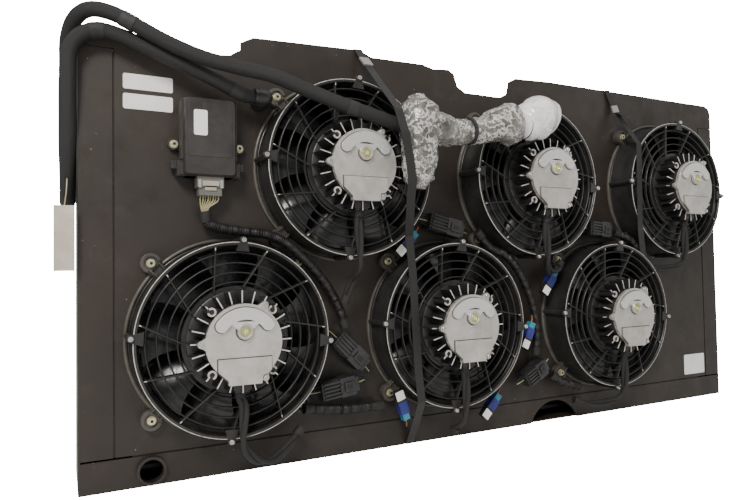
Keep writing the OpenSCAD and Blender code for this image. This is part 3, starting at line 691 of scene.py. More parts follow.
def build_housing(number, mats):
    shape = Shape()
    place = fan_place(number)
    drum = [(142, 0), (153.4, 0), (153.4, 2.6), (151.6, 3.6), (150.7, 7), (150.5, 16),
            (150.0, 30), (149.8, 44), (150.5, 47), (150.5, 56), (147.2, 56), (146.2, 55),
            (146, 44), (141.3, 36), (141, 30), (141, 8), (143, 2)]
    shape.add(*revolve(drum, 144), 0, place)
    # the bead takes the painted highlight material
    bead = [(153.4, 0), (160, 0), (160.4, 2.2), (159.4, 4.6), (157.2, 5.7), (155.0, 4.9),
            (153.6, 2.8)]
    shape.add(*revolve(bead, 144), 1, place)
    for a in EAR_ANGLES:
        # the ear: a rounded plate with a wall like a letter C round its bolt
        ear = arc(170, 0, 15.8, -128, 128, 24)
        shape.add(*prism(ear, 0, 11.9), 2, place @ turned(a))
        shape.add(*block(149, 168, -11.5, 11.5, 0, 8.4), 2, place @ turned(a))
        wall = arc(170, 0, 15.4, -118, 118, 26) + arc(170, 0, 10.4, 118, -118, 22)
        shape.add(*prism(wall, 11.8, 14.6), 2, place @ turned(a))
        for s in (-1, 1):
            rib = [(150, 8 * s - 1.3), (162, 9 * s - 1.3), (162, 9 * s + 1.3),
                   (150, 8 * s + 1.3)]
            shape.add(*prism(rib, 8, 13.4), 2, place @ turned(a))
    for a in TAB_ANGLES:
        shape.add(*disc(5.3, 5, 56, 20), 0, place @ turned(a, 154))
        shape.add(*block(148, 154, -5.3, 5.3, 5, 55.5), 0, place @ turned(a))
    piece = shape.finish(f"housing_{number}_drum", [mats.housing, mats.bead, mats.dusty], 0.0006)
    seat(piece, f"fan_housing_{number}")


def ring_profile(radius, width, low, high):
    """A rounded ring section, closed, standing from low to high."""
    half = width / 2
    soft = min(half, 1.4)
    return [(radius - half, low), (radius + half, low), (radius + half, high - soft),
            (radius + half * 0.55, high - soft * 0.25), (radius, high),
            (radius - half * 0.55, high - soft * 0.25), (radius - half, high - soft)]


def build_guard(number, mats):
    shape = Shape()
    place = fan_place(number)
    rim = [(146.4, 56), (151.6, 56), (152, 57), (152, 62.4), (151.3, 63.4), (147.2, 63.4),
           (146.2, 62.2), (146, 57)]
    shape.add(*revolve(rim, 144), 0, place)
    # a thin ring of painted highlight along the rim's outer edge
    rim_highlight = [(150.5, 63.3), (151.8, 63.0), (151.8, 63.5), (151.3, 63.8), (150.6, 63.8)]
    shape.add(*revolve(rim_highlight, 144), 1, place)
    for radius in (135, 119, 104, 89):
        shape.add(*revolve(ring_profile(radius, 2.5, 56, 62), 120), 0, place)
    hub = [(68.2, 50), (84, 50), (84, 55.4), (83.2, 56), (68.2, 56)]
    shape.add(*revolve(hub, 96), 0, place)
    offset = 38.0
    near = math.sqrt(81 ** 2 - offset ** 2)
    far = math.sqrt(147 ** 2 - offset ** 2)
    lead = math.atan2(offset, far)
    for k in range(11):
        a = math.radians(4.5 + 360 * k / 11) - lead
        section = [(-1.7, 50), (1.7, 50), (1.7, 60.6), (0.8, 62.2), (-0.8, 62.2), (-1.7, 60.6)]
        points = [(near, offset + y, h) for y, h in section]
        points += [(far, offset + y, h) for y, h in section]
        faces = [[0, 5, 4, 3, 2, 1], [6, 7, 8, 9, 10, 11]]
        faces += [[j, (j + 1) % 6, 6 + (j + 1) % 6, 6 + j] for j in range(6)]
        shape.add(points, faces, 0, place @ turned(a))
        # a short bar of painted highlight where the spoke meets the rim
        shape.add(*block(far - 5, far - 1, offset - 0.8, offset + 0.8, 61.9, 62.5), 1,
                  place @ turned(a))
    for a in TAB_ANGLES:
        tab = [(137, -10.6), (150, -7), (153, -5.6)] + arc(155, 0, 5.9, -80, 80, 8)
        tab += [(153, 5.6), (150, 7), (137, 10.6)]
        shape.add(*prism(tab, 56, 64.6), 0, place @ turned(a))
        collar = [(2.2, 61.5), (5.8, 61.5), (5.8, 64.0), (5.0, 65.0), (2.2, 65.0)]
        shape.add(*revolve(collar, 24), 0, place @ turned(a, 155))
    piece = shape.finish(f"guard_{number}_grille", [mats.guard, mats.edge], 0.0004)
    seat(piece, f"fan_guard_{number}")


def build_motor(number, mats):
    shape = Shape()
    place = fan_place(number)
    body = [(14, 10.4), (17, 10.4), (17, 56), (74, 56), (76.6, 56.6), (76.6, 59), (75, 60),
            (58, 60.2), (57.2, 62), (56.6, 98), (56, 100), (54, 100), (54, 62), (14, 60)]
    shape.add(*revolve(body, 96), 0, place)
    for k in range(24):
        a = 2 * math.pi * k / 24
        fin = [(56, 60), (76.6, 60), (76.6, 86), (76.6, 93.4), (56, 93.4)]
        # each fin is an upright plate, with a bright milled strip along its end
        points = [(r, -0.9, h) for r, h in fin] + [(r, 0.9, h) for r, h in fin]
        faces = [[0, 1, 2, 3, 4], [9, 8, 7, 6, 5]]
        faces += [[j, 5 + j, 5 + (j + 1) % 5, (j + 1) % 5] for j in range(5)]
        shape.add(points, faces, 0, place @ turned(a))
        strip = [(58.0, 93.3), (76.5, 93.3), (76.5, 91), (76.9, 91), (76.9, 94.0), (58.0, 94.0)]
        points = [(r, -0.95, h) for r, h in strip] + [(r, 0.95, h) for r, h in strip]
        faces = [[0, 1, 2, 3, 4, 5], [11, 10, 9, 8, 7, 6]]
        faces += [[j, 6 + j, 6 + (j + 1) % 6, (j + 1) % 6] for j in range(6)]
        shape.add(points, faces, 1, place @ turned(a))
    for a in EAR_ANGLES:
        # a round boss whose face carries a C-shaped ring of painted highlight, broken by a slot
        # like a letter C, round a disc of painted shade for its hole
        shape.add(*disc(6.9, 59, 95, 24), 0, place @ turned(a, 65))
        ring = arc(0, 0, 6.8, -150, 150, 18) + arc(0, 0, 4.0, 150, -150, 18)
        shape.add(*prism(ring, 94.5, 97), 3, place @ turned(a + math.pi, -65) @ turned(0.5))
        shape.add(*disc(3.2, 94, 95.6, 16), 2, place @ turned(a, 65))
    for a in COVER_ANGLES:
        shape.add(*disc(5.4, 59, 100, 20), 0, place @ turned(a, 63))
    shape.add(*block(-14, 14, -72.6, -54, 59, 92), 0, place)
    shape.add(*block(-11, 11, -76, -70, 62, 90), 0, place)
    finishes = [mats.motor, mats.fin, mats.dark, mats.edge]
    piece = shape.finish(f"motor_{number}_body", finishes, 0.0003)
    seat(piece, f"motor_body_{number}")


def build_cover(number, mats):
    shape = Shape()
    place = fan_place(number)
    plate = []
    for low, high in ((-52, 52), (68, 172), (188, 292)):
        plate += arc(0, 0, 57.6, low + 1, high - 1, 26)
        mid = high + 8
        x, y = 63 * math.cos(math.radians(mid)), 63 * math.sin(math.radians(mid))
        plate += arc(x, y, 5.4, mid - 88, mid + 88, 10)
    shape.add(*prism(plate, 100, 107.2), 0, place)
    pad = [(-40, -41), (-40, -23), (40, -23), (40, -42), (34, -48), (26, -50), (25, -62),
           (-24, -62), (-25, -61), (-25, -55)]
    # a dark sheet of painted shadow round the pad's step
    pad_shadow = [(-41.5, -42), (-41.5, -21.6), (41.5, -21.6), (41.5, -43), (34.6, -49.4),
              (27, -51), (-26, -57)]
    shape.add(*prism(pad_shadow[::-1], 107, 107.6), 2, place)
    shape.add(*prism(pad[::-1], 100, 110.4), 0, place)
    crescent = arc(0, 0, 52, 36, 144, 30) + arc(0, 0, 34, 144, 36, 24)
    shape.add(*prism(crescent, 106, 112.6), 1, place)
    shade = arc(0, 0, 53.4, 32, 148, 30) + arc(0, 0, 32.4, 148, 32, 24)
    shape.add(*prism(shade, 107, 107.6), 2, place)
    for a in (36, 144):
        x, y = 43 * math.cos(math.radians(a)), 43 * math.sin(math.radians(a))
        shape.add(*disc(9, 106, 112.55, 28), 1, place @ Matrix.Translation((x, y, 0)))
        # each boss has a ring of painted shadow round it
        shape.add(*disc(10.4, 107, 107.55, 28), 2, place @ Matrix.Translation((x, y, 0)))
    apron = [(-24, 31), (24, 31)][::-1] + arc(0, 16.5, 12, 165, 375, 20)
    shape.add(*prism(apron, 106, 112.2), 1, place)
    # a disc of painted shadow round the collar
    shape.add(*disc(14, 107, 107.5, 36), 2, place @ Matrix.Translation((0, 16.5, 0)))
    collar = [(7.6, 107), (12, 107), (12, 112.8), (11.2, 113.8), (8.4, 113.8), (7.6, 113)]
    shape.add(*revolve(collar, 40), 0, place @ Matrix.Translation((0, 16.5, 0)))
    finishes = [mats.alloy, mats.bright, mats.stain]
    piece = shape.finish(f"cover_{number}_cast", finishes, 0.0009, 32, 3)
    seat(piece, f"motor_cover_{number}")


BLADES = 9
# fin rows of the core: half their length, their number, and the spacing of their walls
FIN_REACH = 674.5
FIN_ROWS = 19
FIN_PITCH = 4.0


def blade_section(share):
    """Chord, pitch and lean of a blade at a share of its span, in millimetres and degrees."""
    radius = 61 + (138.6 - 61) * share
    chord = 46 + 40 * share ** 0.8
    pitch = 37 - 15 * share
    lean = -9 * share + 15 * share * share
    return radius, chord, math.radians(pitch), math.radians(lean)


def build_impeller(number, mats):
    shape = Shape()
    place = fan_place(number)
    cup = [(6.2, 4), (56, 4), (60.4, 5.4), (62, 8), (62, 45), (61.2, 46), (59.6, 46), (59, 45),
           (59, 8), (57, 7), (12, 7), (12, 10), (6.2, 10)]
    shape.add(*revolve(cup, 96), 0, place)
    for k in range(12):
        a = 2 * math.pi * k / 12
        shape.add(*block(14, 56, -1, 1, 6.5, 11), 0, place @ turned(a))
    spans, across = 10, 9
    for b in range(BLADES):
        points = []
        for i in range(spans + 1):
            radius, chord, pitch, lean = blade_section(i / spans)
            for side in (1, -1):
                for j in range(across + 1):
                    t = j / across - 0.5
                    bow = 0.07 * chord * (1 - 4 * t * t)
                    thick = 1.5 * (1 - 3.2 * t * t) + 0.25
                    u = t * chord
                    v = bow + side * thick
                    along = u * math.cos(pitch) - v * math.sin(pitch)
                    high = u * math.sin(pitch) + v * math.cos(pitch)
                    a = lean + along / radius
                    points.append((radius * math.cos(a), radius * math.sin(a), 22 + high))
        row = across + 1
        ring = 2 * row
        faces = []
        for i in range(spans):
            for j in range(across):
                top = i * ring + j
                faces.append([top, top + ring, top + ring + 1, top + 1])
                low = i * ring + row + j
                faces.append([low, low + 1, low + ring + 1, low + ring])
            for j, flip in ((0, False), (across, True)):
                a, c = i * ring + j, i * ring + row + j
                quad = [a, c, c + ring, a + ring]
                faces.append(quad[::-1] if flip else quad)
        for i, flip in ((0, False), (spans, True)):
            for j in range(across):
                a, c = i * ring + j, i * ring + row + j
                quad = [a, a + 1, c + 1, c]
                faces.append(quad[::-1] if flip else quad)
        shape.add(points, faces, 0, place @ turned(2 * math.pi * b / BLADES + 0.2))
    piece = shape.finish(f"impeller_{number}_blades", [mats.blade], 0.0, 40)
    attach(piece, f"rotor_{number}")
    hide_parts(f"impeller_{number}")


# ---------------------------------------------------------------- fasteners

def socket_head(shape, place, height, radius=3.8, tall=4.0):
    cap = [(0.01, height), (radius, height), (radius, height + tall - 0.5),
           (radius - 0.5, height + tall), (2.3, height + tall), (2.0, height + tall - 0.4),
           (2.0, height + 1.6), (0.01, height + 1.6)]
    shape.add(*revolve(cap, 20, False), 0, place)


def build_screws(mats):
    shape = Shape()
    for number in FANS:
        place = fan_place(number)
        for a in TAB_ANGLES:
            socket_head(shape, place @ turned(a, 155), 65)
        for a in COVER_ANGLES:
            socket_head(shape, place @ turned(a, 63), 107.2, 3.9, 3.8)
        lift = place @ Matrix.Translation((0, 16.5, 0))
        plug = [(3.2, 108), (3.2, 112.6), (3.9, 113.4), (6.6, 113.4), (7.4, 112.6), (7.4, 105)]
        shape.add(*revolve(plug[::-1], 36), 1, lift)
        shape.add(*disc(3.3, 105, 109, 6), 1, lift)
    piece = shape.finish("socket_screw_set", [mats.screw, mats.green_zinc], 0.0)
    seat(piece, "socket_screws")


def hexagon(shape, place, height):
    washer = [(3.0, height), (6.6, height), (6.8, height + 0.4), (6.6, height + 1.2),
              (3.0, height + 1.3)]
    shape.add(*revolve(washer, 32), 0, place)
    shape.add(*disc(5.9, height + 1.4, height + 5.6, 6), 0, place)
    # a thin disc of painted shade on the head's top
    shape.add(*disc(2.4, height + 5.6, height + 5.75, 18), 1, place)


def build_bolts(mats):
    shape = Shape()
    for number in FANS:
        for a in EAR_ANGLES:
            hexagon(shape, fan_place(number) @ turned(a, 170) @ turned(0.3 * number), 12)
    for x in (-596, -492):
        hexagon(shape, panel_place(x, 530), 8)
    piece = shape.finish("hex_bolt_set", [mats.zinc, mats.dark], 0.0004)
    seat(piece, "hex_bolts")


# ---------------------------------------------------------------- wiring and controller

def add_tube(shape, path, radius, number=0, sides=16):
    points, faces, uvs = tube(path, radius, sides)
    shape.add(points, faces, number, None, uvs)


def twisted(path, offset, pitch):
    """Two paths wound round each other along one."""
    out, run, turn = ([], []), 0.0, 0.0
    normal = (path[1] - path[0]).orthogonal().normalized()
    for i, p in enumerate(path):
        t = (path[min(i + 1, len(path) - 1)] - path[max(i - 1, 0)]).normalized()
        if i:
            run += (p - path[i - 1]).length
        normal = (normal - t * normal.dot(t)).normalized()
        turn = 2 * math.pi * run / pitch
        side = normal * math.cos(turn) + t.cross(normal) * math.sin(turn)
        out[0].append(p + side * offset)
        out[1].append(p - side * offset)
    return out


TRUNK_ROUTES = [
    [(-551, -21, 424), (-547, -19, 406), (-522, -18, 397), (-484, -19, 392), (-450, -28, 387),
     (-422, -34, 374), (-398, -34, 354), (-372, -30, 330), (-345, -24, 300), (-322, -20, 262),
     (-310, -20, 226)],
    [(-392, -30, 96), (-340, -24, 88), (-290, -22, 84), (-240, -20, 84)],
    [(-30, -30, 398), (0, -32, 366), (34, -34, 352), (66, -26, 330), (94, -20, 296),
     (114, -20, 250), (124, -20, 200), (120, -20, 146)],
    [(344, -28, 402), (392, -31, 385), (420, -31, 360), (452, -30, 338)],
    [(154, -26, 104), (186, -28, 84), (230, -26, 72)]]


def build_trunk(mats):
    """Convoluted tubing with real ribs, and cloth tape at its ends."""
    shape = Shape()
    for route in TRUNK_ROUTES:
        path = smooth_path(metres(route), 0.0012)
        total = path_length(path)
        ribs = 2 * math.pi * total / 0.0036

        def radius(share, ribs=ribs):
            return 0.0080 + 0.0007 * math.sin(ribs * share)

        add_tube(shape, path, radius, 0, 18)
        for part in (path[:14], path[-14:]):
            add_tube(shape, part, 0.0090, 1, 18)
    seat(shape.finish("harness_trunk_tubing", [mats.trunk, mats.tape], angle=60),
         "harness_trunk")


LEAD_ENDS = [
    [(6, -104, 76), (4, -150, 77), (12, -172, 74), (34, -192, 60), (62, -196, 48), (92, -176, 40),
     (112, -156, 36)],
    [(4, -104, 76), (2, -150, 77), (0, -176, 70), (-4, -196, 44)],
    [(0, -104, 76), (-4, -152, 77), (-16, -174, 70), (-40, -186, 52), (-72, -186, 42),
     (-104, -176, 32)],
    [(0, -104, 76), (2, -150, 77), (4, -174, 72), (0, -196, 46), (-12, -232, 38)],
    [(0, -104, 76), (2, -150, 77), (8, -172, 70), (30, -186, 54), (52, -182, 48), (68, -168, 40)],
    [(0, -104, 76), (-2, -150, 77), (-8, -172, 72), (-38, -184, 50), (-72, -182, 38)]]


def build_leads(mats):
    """Each motor's two braided strands, from its cable exit over the guard's rim."""
    shape = Shape()
    for number, ends in zip(FANS, LEAD_ENDS):
        place = fan_place(number)
        points = [place @ Vector(p) for p in [(0, -74, 76), (0, -86, 76)] + ends]
        path = smooth_path(points, 0.003)
        for strand in twisted(path, 0.0036, 0.19):
            add_tube(shape, strand, 0.0042, 0, 12)
        add_tube(shape, path[:4], 0.0085, 1, 20)
        add_tube(shape, path[-5:], 0.0082, 1, 16)
    seat(shape.finish("fan_lead_set", [mats.lead, mats.tape], angle=60), "fan_leads")


CONNECTORS = [(-302, 184, -45, 74), (-325, 124, 8, 70), (-100, 408, -14, 78), (303, 408, -4, 66),
              (112, 112, 28, 62)]


def build_connectors(mats):
    shape = Shape()
    for x, z, turn, length in CONNECTORS:
        place = panel_place(x, z, turn)
        half = length / 2
        shape.add(*block(-half, 0, -14.5, 14.5, 10, 34), 0, place)
        for y in (-12.5, -6.2, 0, 6.2, 12.5):
            shape.add(*block(-half + 3, -1, y - 1.5, y + 1.5, 33.5, 37.6), 0, place)
        for y in (-14.6, 14.6):
            for h in (15, 22, 29):
                shape.add(*block(-half + 3, -1, y - 1.2, y + 1.2, h - 1.4, h + 1.4), 0, place)
        shape.add(*block(-1, half - 8, -16.5, 16.5, 10, 36), 0, place)
        shape.add(*block(half - 8.5, half, -12.5, 12.5, 12, 32), 0, place)
        shape.add(*block(6, half - 11, -8, 8, 35.8, 39), 0, place)
        # a thin strip of painted shade for the slot in the top
        shape.add(*block(9, half - 15, -4.6, 4.6, 38.9, 39.15), 1, place)
        shape.add(*block(-3, 2, -6, 6, 33.8, 39.6), 0, place)
        for side, edge in ((-1, -half), (1, half)):
            for k in range(5):
                y = -9 + 4.5 * k
                wire = [(edge - side * 2, y, 22), (edge + side * 8, y * 0.9, 21.5),
                        (edge + side * 17, y * 0.55, 18)]
                path = smooth_path([place @ Vector(p) for p in wire], 0.003)
                add_tube(shape, path, 0.0011, 2 if k != 2 else 3, 8)
    piece = shape.finish("harness_connector_set",
                         [mats.connector, mats.dark, mats.tape, mats.wire_yellow], 0.0007)
    seat(piece, "harness_connectors")


BLUE_PLUGS = [(-191, 374, 45), (148, 294, 54), (88, 189, 64), (-206, 82, -72), (-8, 58, 47)]


def build_blue_plugs(mats):
    """Two-way plugs: a teal end with its wires, a blue body, and the black mate with a label."""
    shape = Shape()
    for x, z, turn in BLUE_PLUGS:
        place = panel_place(x, z, turn + 180)
        shape.add(*block(-28, -15, -6.5, 6.5, 25, 38), 1, place)
        shape.add(*block(-16, 6, -8.6, 8.6, 23.4, 39.6), 0, place)
        for y in (-5.6, 0, 5.6):
            shape.add(*block(-13, 3, y - 0.9, y + 0.9, 39.5, 40.3), 0, place)
        shape.add(*block(5, 27, -7.4, 7.4, 24.5, 38), 2, place)
        shape.add(*block(3, 8, -9, 9, 23.2, 39), 2, place)
        shape.add(*prism(rounded_rectangle(17, 17, 1.5), 38.1, 38.6), 3,
                  place @ Matrix.Translation((18.5, 0, 0)))
        for k in range(3):
            y = -3.6 + 3.6 * k
            wire = [(-26, y, 31), (-35, y * 0.8, 30), (-44, y * 0.4, 24)]
            path = smooth_path([place @ Vector(p) for p in wire], 0.003)
            add_tube(shape, path, 0.0011, 4 if k == 1 else 5, 8)
    piece = shape.finish("blue_plug_set", [mats.blue, mats.teal, mats.connector, mats.label,
                                           mats.wire_orange, mats.tape], 0.0007)
    seat(piece, "blue_plugs")


def build_controller(mats):
    """The electronic controller: a deep ribbed case on two bolt ears."""
    shape = Shape()
    place = panel_place(-545, 540)
    body = rounded_rectangle(82, 124, 5, 5)
    top = rounded_rectangle(77, 119, 6, 5)
    n = len(body)
    points = [(x, y, 0) for x, y in body] + [(x, y, 33) for x, y in body]
    points += [(x, y, 40) for x, y in top]
    faces = [list(range(n - 1, -1, -1)), list(range(2 * n, 3 * n))]
    for ring in (0, n):
        faces += [[ring + k, ring + (k + 1) % n, ring + n + (k + 1) % n, ring + n + k]
                  for k in range(n)]
    shape.add(points, faces, 0, place)
    shape.add(*prism(rounded_rectangle(68, 88, 4), 39.8, 40.9), 0,
              place @ Matrix.Translation((0, 12, 0)))
    shape.add(*block(-49, 49, -62, -38, 0, 28), 0, place)
    shape.add(*block(-46, 46, -60, -42, 27.9, 31), 0, place)
    for h in (14, 22, 30):
        shape.add(*block(-44, -40, -36, 58, h - 1.3, h + 1.3), 0, place)
        shape.add(*block(40, 44, -36, 58, h - 1.3, h + 1.3), 0, place)
    for x in (-51, 53):
        shape.add(*disc(9.5, 0, 7.9, 32), 0, place @ Matrix.Translation((x, -10, 0)))
        shape.add(*block(min(x, 0), max(x, 0), -19, -1, 0, 7.6), 0, place)
    for s in (-1, 1):
        shape.add(*block(s * 53 - 4.5, s * 53 + 4.5, -50, -37, 6, 18), 0, place)
    seat(shape.finish("controller_case_body", [mats.case], 0.0016, 35, 3), "controller_case")

    shape = Shape()
    place = panel_place(-544, 0)
    shape.add(*block(-21, 21, 461, 478, 10, 33), 0, place)
    shape.add(*block(-18, 18, 448, 462, 12, 31), 0, place)
    shape.add(*block(-13, 13, 463, 471, 32.8, 35.6), 1, place)
    shape.add(*block(-9, 9, 456, 464, 30.6, 33), 1, place)
    for s in (-1, 1):
        shape.add(*block(s * 17 - 2.4, s * 17 + 2.4, 460, 473, 32.6, 34.6), 2, place)
    for k in range(8):
        x = -14 + 4 * k
        wire = [(x, 449, 21 + 3 * (k % 2)), (x * 0.95 - 1, 440, 21 + 2 * (k % 2)),
                (-7 + x * 0.45, 430, 21), (-7 + x * 0.28, 420, 20.5)]
        path = smooth_path([place @ Vector(p) for p in wire], 0.003)
        add_tube(shape, path, 0.0012, 3, 8)
    piece = shape.finish("controller_plug_body", [mats.grey_plug, mats.beige, mats.seal,
                                                  mats.wire_yellow], 0.0007)
    seat(piece, "controller_plug")


# ---------------------------------------------------------------- labels and packing

def build_labels(mats):
    """Blank labels with rounded corners, and the tag that hangs from the left post."""
    shape = Shape()
    for x, z, wide, tall, low in ((-633, 594, 74, 24, 0), (-633, 625, 74, 24, 0),
                                  (641, 82, 74, 48, 0), (-560.5, 561, 21, 40, 40.9)):
        place = panel_place(x, z)
        shape.add(*prism(rounded_rectangle(wide, tall, 3), low, low + 0.4), 0, place)
    rows = 24
    points = []
    for k in range(rows + 1):
        t = k / rows
        for thick in (0.0, 0.5):
            for x in (-14, -5, 5, 14):
                bend = 3.0 * math.sin(t * 2.6) + 0.012 * x * x * (1 - t)
                points.append((-751 + x, -12 - bend - thick, 428 - 96 * t))
    faces = []
    for k in range(rows):
        for j in range(3):
            a = k * 8 + j
            faces.append([a, a + 8, a + 9, a + 1])
            faces.append([a + 4, a + 5, a + 13, a + 12])
        for a, c in ((k * 8, k * 8 + 4), (k * 8 + 7, k * 8 + 3)):
            faces.append([a, c, c + 8, a + 8])
    last = rows * 8
    for a, flip in ((0, False), (last, True)):
        for j in range(3):
            quad = [a + j, a + j + 1, a + j + 5, a + j + 4]
            faces.append(quad[::-1] if flip else quad)
    place = Matrix(((MM, 0, 0, 0), (0, MM, 0, FRONT), (0, 0, MM, 0), (0, 0, 0, 1)))
    shape.add(points, faces, 1, place)
    string = metres([(-751, -12.4, 422), (-750, -10, 432), (-748, 2, 450), (-747, 10, 470)])
    add_tube(shape, smooth_path(string, 0.004), 0.0009, 2, 8)
    piece = shape.finish("paper_label_set", [mats.label, mats.tag, mats.wire_yellow])
    seat(piece, "paper_labels")


LEFT_BAND = [
    (-268, -1.2, 732.2), (-264, -14, 712), (-256, -128, 594), (-251, -142, 550),
    (-243, -143, 500), (-239, -142, 472), (-230, -120, 448), (-204, -66.5, 385),
    (-198, -66.5, 320), (-190, -66.5, 146), (-184, -66.5, 90), (-176, -30, 44),
    (-174, -2, 1.0), (-174, 150.4, 1.0), (-240, 150.4, 400), (-268, 150.4, 676.8),
    (-268, 40, 690), (-268, 3, 732.4), (-268, -1.2, 732.2)]
RIGHT_BAND = [
    (366, 150.4, 560), (366, 150.4, 676.8), (366, 40, 690), (366, 3, 730.6),
    (366, -1.2, 730.4), (380, -10, 684), (386, -68, 596), (384, -67, 412), (416, -46, 352),
    (462, -8, 300), (486, -1.5, 240)]


def ribbon(route, width, thick):
    """Faces of a flat strap along a route, its width kept as level as the path allows."""
    corners = metres(route)
    path = []
    for a, b in zip(corners, corners[1:]):
        count = max(1, int((b - a).length / 0.006))
        path += [a.lerp(b, k / count) for k in range(count)]
    path.append(corners[-1])
    points, faces, uvs, run = [], [], [], 0.0
    along = []
    for i, p in enumerate(path):
        t = (path[min(i + 1, len(path) - 1)] - path[max(i - 1, 0)]).normalized()
        across = Vector((1, 0, 0)) - t * t.x
        across.normalize()
        out = across.cross(t)
        if i:
            run += (p - path[i - 1]).length
        along.append(run)
        for u, v in ((-1, -1), (1, -1), (1, 1), (-1, 1)):
            points.append(p + across * (u * width / 2) + out * (v * thick / 2))
    for i in range(len(path) - 1):
        for k in range(4):
            n = (k + 1) % 4
            faces.append([4 * i + k, 4 * i + n, 4 * i + 4 + n, 4 * i + 4 + k])
            v = (0.0, width) if k in (0, 2) else (0.0, thick)
            uvs.append([(along[i], v[0]), (along[i], v[1]), (along[i + 1], v[1]),
                        (along[i + 1], v[0])])
    last = 4 * (len(path) - 1)
    faces += [[3, 2, 1, 0], [last, last + 1, last + 2, last + 3]]
    uvs += [[(0.0, 0.0)] * 4] * 2
    return points, faces, uvs


def build_straps(mats):
    shape = Shape()
    for route in (LEFT_BAND, RIGHT_BAND):
        points, faces, uvs = ribbon(route, 0.016, 0.0008)
        shape.add(points, faces, 0, None, uvs)
    # crimped seals, and the tails that stand out of them
    for seal in ([(-264, -16, 712), (-262.3, -33, 694)], [(377, -9.5, 694), (380.5, -13, 678)]):
        points, faces, uvs = ribbon(seal, 0.019, 0.0036)
        shape.add(points, faces, 1, None, uvs)
    tail = [(381, -14, 678), (392, -38, 662), (404, -42, 646)]
    points, faces, uvs = ribbon(tail, 0.015, 0.0008)
    shape.add(points, faces, 0, None, uvs)
    seat(shape.finish("packing_strap_set", [mats.strap, mats.seal], 0.0), "packing_straps")


LOBE_ROUTE = [(-212, -118, 462), (-212, -118, 480), (-210, -118, 520), (-208, -114, 560),
              (-207, -110, 600), (-206, -106, 624)]
LOBE_WIDTHS = [24, 52, 66, 74, 70, 30]
SLEEVE_ROUTE = [(-215, -110, 572), (-160, -108, 571), (-130, -104, 570), (-70, -104, 577),
                (-40, -106, 588), (-12, -110, 592), (16, -110, 596), (34, -110, 602),
                (60, -111, 612), (84, -111, 614), (106, -110, 610)]
SLEEVE_WIDTHS = [60, 58, 48, 50, 66, 84, 56, 76, 90, 72, 20]


WRAP_SIDES = 72


def crumpled(route, widths, white_from):
    """A wrapped bundle: a tube whose width follows widths, folded and dented by noise."""
    path = smooth_path(metres(route), 0.0022)
    marks, run = [0.0], 0.0
    corners = metres(route)
    for a, b in zip(corners, corners[1:]):
        run += (b - a).length
        marks.append(run)
    marks = [m / run for m in marks]

    def radius(share):
        for k in range(len(marks) - 1):
            if share <= marks[k + 1] or k == len(marks) - 2:
                t = (share - marks[k]) / (marks[k + 1] - marks[k])
                t = max(0.0, min(1.0, t))
                t = t * t * (3 - 2 * t)
                return MM * (widths[k] + (widths[k + 1] - widths[k]) * t) / 2 * 0.93

    points, faces, uvs = tube(path, radius, WRAP_SIDES)
    out = []
    for i in range(len(path)):
        centre = path[i]
        soft = 0.35 if i / len(path) > white_from else 1.0
        for k in range(WRAP_SIDES):
            p = points[i * WRAP_SIDES + k]
            away = p - centre
            size = away.length
            away.normalize()
            fold = noise.noise(p * 21.0)
            crease = 1 - abs(noise.noise(p * 44.0 + Vector((3.1, 0, 0)))) * 5
            shift = soft * (0.15 * size * fold + 0.0019 * max(0.0, crease))
            out.append(p + away * shift)
    numbers = [1 if (at // WRAP_SIDES) / len(path) > white_from else 0
               for at in range(len(faces) - 2)]
    return out, faces, uvs, numbers + [0, 1 if white_from < 1 else 0]


def build_wrap(mats):
    """Bubble wrap round the loom's connector bundle, tied off to a white end."""
    shape = Shape()
    for route, widths, white in ((LOBE_ROUTE, LOBE_WIDTHS, 2.0),
                                 (SLEEVE_ROUTE, SLEEVE_WIDTHS, 0.66)):
        points, faces, uvs, numbers = crumpled(route, widths, white)
        first = len(shape.numbers)
        shape.add(points, faces, 0, None, uvs)
        shape.numbers[first:] = numbers
    for x, z, girth in ((25, 599, 28), (-100, 573, 23)):
        ring = [(girth - 1.5, -3), (girth + 1.5, -3), (girth + 1.5, 3), (girth - 1.5, 3)]
        place = Matrix.Translation((x * MM, FRONT - 0.109, z * MM)) @ \
            Matrix.Rotation(math.radians(80), 4, "Y") @ Matrix.Scale(MM, 4)
        shape.add(*revolve(ring, 48), 2, place)
    piece = shape.finish("bubble_wrap_bundle", [mats.film, mats.white_film, mats.tape], angle=75)
    return seat(piece, "bubble_wrap")


def build_boot(mats):
    """The right-angle boot that lets the loom out of the panel."""
    shape = Shape()
    place = panel_place(-457, 612)
    base = [(0.01, 0), (14.5, 0), (14.5, 3.6), (14.2, 5), (13.6, 5.4), (13.3, 8), (13.3, 38)]
    dome = [(13.3 * math.cos(a), 38 + 13.3 * math.sin(a))
            for a in (math.pi * k / 20 for k in range(1, 11))]
    shape.add(*revolve(base + [(max(r, 0.01), h) for r, h in dome], 48, False), 0, place)
    neck = metres([(-457, -38, 612), (-462, -38, 612), (-470, -38, 612), (-474.6, -38, 612)])
    add_tube(shape, neck, 0.0133, 0, 36)
    for x in (-466, -472):
        add_tube(shape, metres([(x + 1.5, -38, 612), (x - 1.5, -38, 612)]), 0.0142, 0, 36)
    return seat(shape.finish("loom_boot_moulding", [mats.connector], angle=50), "loom_boot")


def build_ties(mats, path):
    """Tape bands round the loom where it is folded and where it enters the wrap."""
    shape = Shape()
    for at in (0.014, 0.14, 0.55, 0.76, 0.845):
        k = int(at * len(path))
        add_tube(shape, path[k:k + 4], LOOM_DIAMETER / 2 + 0.0008, 0, 24)
    piece = shape.finish("loom_tape_bands", [mats.tape], angle=50)
    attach(piece, "frame")
    return piece


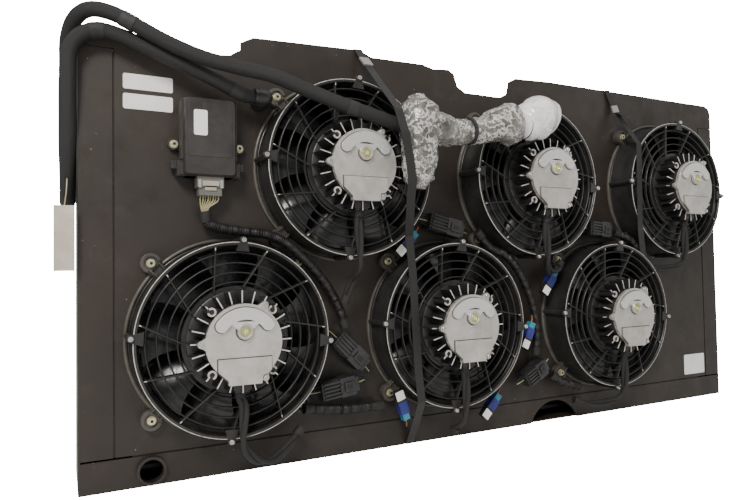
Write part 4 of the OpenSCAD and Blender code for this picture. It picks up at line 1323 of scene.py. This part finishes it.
def build_fins(mats):
    """The folded fins as they look: thin upright walls close together between the tubes."""
    shape = Shape()
    place = Matrix(((MM, 0, 0, 0), (0, MM, 0, FRONT), (0, 0, MM, 0), (0, 0, 0, 1)))
    tall, tube_thick, end_gap = 673, 7, 14
    pitch = (tall - 2 * end_gap - tube_thick) / FIN_ROWS
    count = int(2 * FIN_REACH / FIN_PITCH)
    step = 2 * FIN_REACH / count
    for row in range(FIN_ROWS):
        low = end_gap + tube_thick + pitch * row
        high = low + pitch - tube_thick
        for k in range(count):
            x = -FIN_REACH + step * (k + 0.5)
            lean = 1.1 if k % 2 else -1.1
            points = [(x - lean, 46, low), (x + lean, 46, high), (x + lean, 118, high),
                      (x - lean, 118, low)]
            points += [(p[0] + 0.25, p[1], p[2]) for p in points]
            faces = [[0, 1, 2, 3], [7, 6, 5, 4], [0, 4, 5, 1], [1, 5, 6, 2], [2, 6, 7, 3],
                     [3, 7, 4, 0]]
            shape.add(points, faces, 0, place)
    seat(shape.finish("core_fin_rows", [mats.fins]), "core_fins")


def show_cad(node, material):
    """A CAD node keeps its shape and takes a finished material."""
    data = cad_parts[node].data
    data.materials.clear()
    data.materials.append(material)


place_camera()
build_stage()
mats = Palette()
loom, loom_path = build_loom(mats)
for fan in FANS:
    build_housing(fan, mats)
    build_guard(fan, mats)
    build_motor(fan, mats)
    build_cover(fan, mats)
    build_impeller(fan, mats)
build_screws(mats)
build_bolts(mats)
build_controller(mats)
build_trunk(mats)
build_leads(mats)
build_connectors(mats)
build_blue_plugs(mats)
build_labels(mats)
build_straps(mats)
boot = build_boot(mats)
wrap = build_wrap(mats)
bands = build_ties(mats, loom_path)
for cad_node in ("shroud_panel", "left_post", "right_post", "top_rail", "bottom_rail"):
    show_cad(cad_node, mats.paint)
for cad_node in ("core_tubes", "header_tank_left", "header_tank_right"):
    show_cad(cad_node, mats.core)
build_fins(mats)
show_cad("motor_stators", mats.winding)
show_cad("motor_bearings", mats.screw)
for fan in FANS:
    show_cad(f"rotor_shaft_{fan}", mats.screw)
